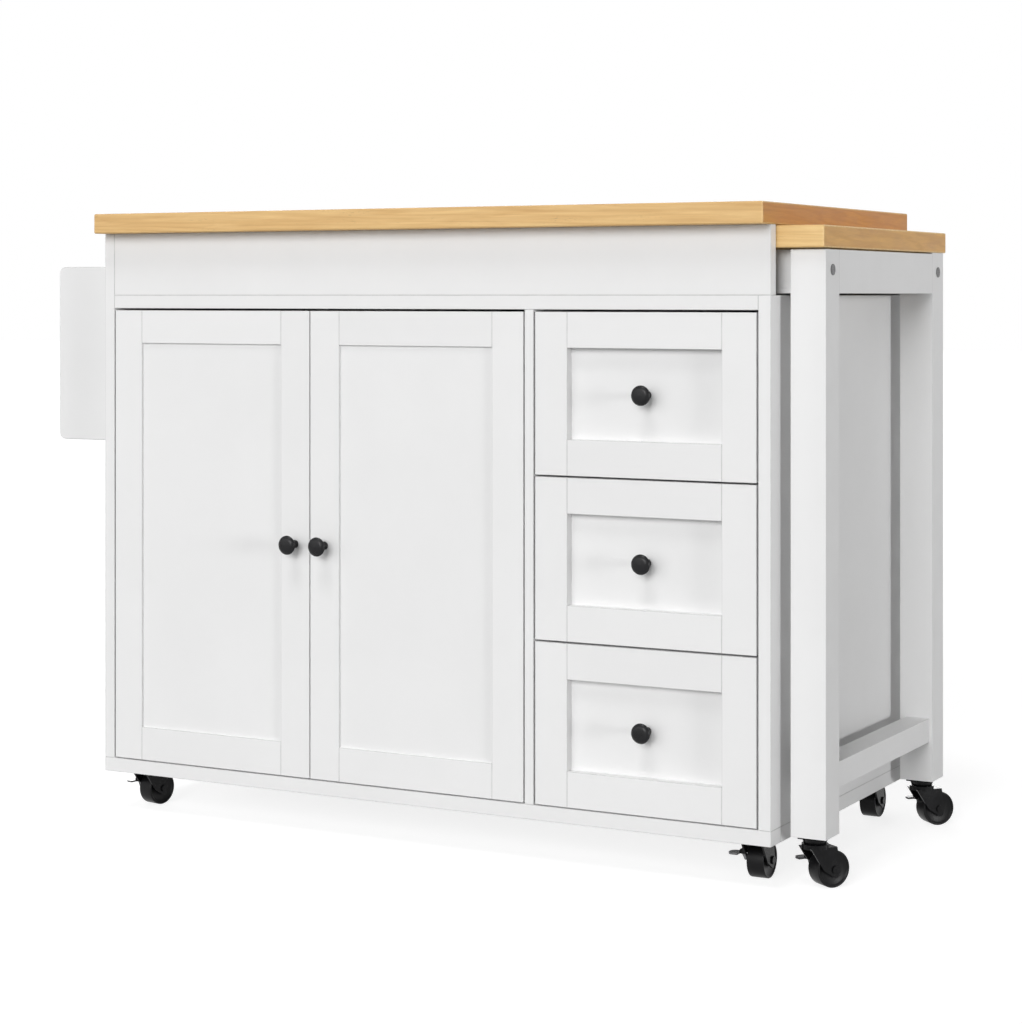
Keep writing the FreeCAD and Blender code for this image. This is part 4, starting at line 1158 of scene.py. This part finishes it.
@dataclass
class Casters:
    """The wheels of six braked swivel casters, whose forks and brakes are the CAD's.

    Hub and rim are rows of (radius, depth below the wheel's side) in mm, with the dished web between them.
    """

    finishes: Finishes
    hub: Profile = ((3.05, 0), (8.5, 0), (8.5, 0.5), (9.2, 1.8))
    rim: Profile = ((20.6, 1.8), (21.6, 1.2), (22.2, 0.2), (22.6, 0))
    radius: float = 25 * MM
    half_width: float = 12.5 * MM
    shoulder: float = 1.2 * MM
    shoulder_steps: int = 7
    steps: int = 96

    def build(self) -> None:
        """Builds each wheel."""
        joints = {joint["name"]: joint for joint in frame["joints"]}
        for name in CASTERS:
            self.build_wheel(name, joints[f"{name}_roll"])

    def build_wheel(self, name: str, joint: dict) -> None:
        """A wheel: flat tread with small round shoulders, a narrow rim, a dished web and a hub.

        Args:
            name: The caster's name.
            joint: The record's joint about which the wheel rolls.
        """
        edge, half = self.shoulder, self.half_width
        side = np.array(self.hub + self.rim) * (MM, -MM) + (0, half)
        turn = np.linspace(math.pi / 2, 0, self.shoulder_steps)
        arc = edge * np.stack([np.cos(turn), np.sin(turn)], axis=-1) + (self.radius - edge, half - edge)
        top = np.concatenate([side, arc])
        profile = np.concatenate([top, top[::-1] * (1, -1)])
        skin = turned(profile[::-1], np.array(joint["pos_m"]), np.array(joint["axis"]), self.steps)
        node = f"{name}_caster_wheel"
        tread = self.finishes.tread
        make_piece(f"{node}_turned", [skin], tread, f"{name}_wheel", (node,), smooth=True)


@dataclass
class Fasteners:
    """Screws in the hinge arms and slide rails, and the pins that hold the back panel."""

    finishes: Finishes
    screw_radius: float = 3.4 * MM
    screw_height: float = 1.5 * MM
    arm_thickness: float = 2.6 * MM
    arm_screws: tuple[float, ...] = (10 * MM, 28 * MM)
    cup_radius: float = 17.5 * MM
    rail_steel: float = 1.5 * MM
    rail_screws: tuple[float, ...] = (24 * MM, 200 * MM, 376 * MM)
    pin_radius: float = 2.4 * MM
    pin_height: float = 0.8 * MM
    pin_inset: float = 9 * MM
    pins_across: int = 9
    pins_up: int = 6
    pin_steps: int = 14

    def build(self) -> None:
        """Builds all screws and pins."""
        self.build_arm_screws()
        self.build_rail_screws()
        self.build_back_pins()

    def place(self, name: str, heads: list[Surface]) -> None:
        """Makes one piece of fastener heads."""
        make_piece(name, heads, self.finishes.zinc, "cabinet", smooth=True)

    def screws(self, box: Box, steel: float, rows: list[float], levels: list[float]) -> list[Surface]:
        """Screw heads on the inner faces of steel at both sides of a box.

        Args:
            box: The box of the steel on both sides.
            steel: The steel's thickness along X.
            rows: The screws' places along Y.
            levels: Their heights.

        Returns:
            The heads, which look inwards.
        """
        faces = zip(box.inside(Axis.X, steel).span(Axis.X), (1.0, -1.0))
        size = (self.screw_radius, self.screw_height)
        return [
            recessed_head(np.array([x, y, z]), np.array([way, 0.0, 0.0]), *size)
            for x, way in faces
            for y in rows
            for z in levels
        ]

    def build_arm_screws(self) -> None:
        """Two screws in the tail of each hinge arm."""
        arms = Box.of("door_hinge_arms")
        levels = Box.of("left_door_hinge_cups").inside(Axis.Z, self.cup_radius).span(Axis.Z)
        rows = [arms.high[1] - reach for reach in self.arm_screws]
        self.place("hinge_screws", self.screws(arms, self.arm_thickness, rows, levels))

    def build_rail_screws(self) -> None:
        """Three screws in the web of each slide rail."""
        rails = Box.of("drawer_slide_rails")
        levels = [Box.of(f"{name}_drawer_slides").middle(Axis.Z) for name in DRAWERS]
        rows = [rails.low[1] + reach for reach in self.rail_screws]
        self.place("rail_screws", self.screws(rails, self.rail_steel, rows, levels))

    def build_back_pins(self) -> None:
        """Low round pin heads along all four edges of the back panel."""
        panel = Box.of("back_panel").inside(Axis.X, self.pin_inset).inside(Axis.Z, self.pin_inset)
        across = np.linspace(*panel.span(Axis.X), self.pins_across)
        up = np.linspace(*panel.span(Axis.Z), self.pins_up)
        places = [(x, z) for x in across for z in (up[0], up[-1])]
        places += [(x, z) for x in (across[0], across[-1]) for z in up[1:-1]]
        shares = np.array([(1, 0), (1, 0.5), (0.6, 1), (0.1, 1)])
        profile = shares * (self.pin_radius, self.pin_height)
        out = np.array([0.0, 1.0, 0.0])
        seats = [np.array([x, panel.high[1], z]) for x, z in places]
        self.place("back_pins", [turned(profile, seat, out, self.pin_steps) for seat in seats])


class Dressing:
    """The finish of each CAD node."""

    def __init__(self, finishes: Finishes) -> None:
        """Sets which word in a node's name calls for which finish. The first match counts."""
        self.plain = finishes.paint
        self.choices = (
            ("_caster_wheel", finishes.tread),
            ("_caster_brake", finishes.pedal),
            ("caster", finishes.steel),
            ("hinge", finishes.zinc),
            ("slide", finishes.zinc),
            ("bolts", finishes.zinc),
            ("shelf_pins", finishes.zinc),
            ("knob", finishes.knob),
            ("drawer_box", finishes.laminate),
            ("cleat", finishes.cleat),
        )

    def build(self) -> None:
        """Dresses every node."""
        for name, node in frame["nodes"].items():
            finish = next((finish for word, finish in self.choices if word in name), self.plain)
            node.data.materials.clear()
            node.data.materials.append(finish)
            log.info("%s dressed", name)


# Studio


@dataclass(frozen=True)
class Lamp:
    """A far light, as wide as its angle in degrees."""

    name: str
    towards: Point
    strength: float
    angle: float

    def build(self) -> None:
        """Hangs the light in the direction given, as seen from the island."""
        light = bpy.data.lights.new(self.name, "SUN")
        light.energy = self.strength
        light.angle = math.radians(self.angle)
        lamp = add_object(self.name, light)
        lamp.rotation_euler = Vector(self.towards).to_track_quat("Z", "Y").to_euler()


@dataclass
class Studio:
    """A pale floor, soft light and the camera at the photograph's viewing angle."""

    camera_place: Point = (1.7850, -3.2351, 0.7902)
    camera_turn: float = math.radians(28.33)
    lens: float = 84.9
    shift: float = -0.2112
    sky: float = 0.11
    lamps: tuple[Lamp, ...] = (
        Lamp("front_light", (0.12, -0.93, 0.33), 1.50, 28.0),
        Lamp("fill_light", (-0.42, -0.88, 0.22), 0.80, 50.0),
        Lamp("right_light", (0.97, -0.24, 0.05), 1.32, 12.0),
        Lamp("top_light", (-0.04, -0.42, 0.90), 0.72, 16.0),
        Lamp("rear_light", (-0.66, 0.75, 0.03), 3.00, 50.0),
    )
    floor_colour: Colour = (0.40, 0.40, 0.40)
    floor_lift: float = 0.80
    floor_half: float = 30.0

    def build(self) -> None:
        """Builds the stage, the light and the camera."""
        self.build_floor()
        self.build_light()
        self.build_camera()
        bpy.context.scene.view_settings.view_transform = "Standard"

    def build_floor(self) -> None:
        """A wide pale floor that takes the shadow and is white to the camera where it is lit."""
        corners = np.array([(-1, -1, 0), (1, -1, 0), (1, 1, 0), (-1, 1, 0)]) * self.floor_half
        mesh = Surface(corners, [[0, 1, 2, 3]]).mesh("floor")
        graph = Graph(bpy.data.materials.new("floor_paint"))
        graph.finish(Base_Color=(*self.floor_colour, 1), Roughness=1.0, Specular_IOR_Level=0.0)
        lift = graph.math("MULTIPLY", graph.seen_ray(), self.floor_lift)
        mesh.materials.append(graph.finish(Emission_Color=(1, 1, 1, 1), Emission_Strength=lift))
        floor = add_object("floor", mesh)

    def build_light(self) -> None:
        """A white sky that is full white to the camera, and the lamps."""
        graph = Graph(bpy.data.worlds.new("sky"), "Background")
        strength = graph.remap(graph.seen_ray(), 0.0, 1.0, self.sky, 1.0)
        bpy.context.scene.world = graph.finish(Color=(1, 1, 1, 1), Strength=strength)
        for lamp in self.lamps:
            lamp.build()

    def build_camera(self) -> None:
        """A level camera with its picture shifted down."""
        lens = bpy.data.cameras.new("camera")
        lens.lens = self.lens
        lens.shift_y = self.shift
        camera = add_object("camera", lens)
        camera.location = self.camera_place
        camera.rotation_euler = (math.pi / 2, 0.0, self.camera_turn)
        bpy.context.scene.camera = camera


def main() -> None:
    logging.basicConfig(level=logging.INFO, format="%(name)s: %(message)s")
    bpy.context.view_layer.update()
    finishes = Finishes()
    Studio().build()
    Carcass(finishes).build()
    Rack(finishes).build()
    Doors(finishes).build()
    Drawers(finishes).build()
    Knobs(finishes).build()
    PullOutTable(finishes).build()
    Casters(finishes).build()
    Fasteners(finishes).build()
    Dressing(finishes).build()


if __name__ == "__main__":
    main()
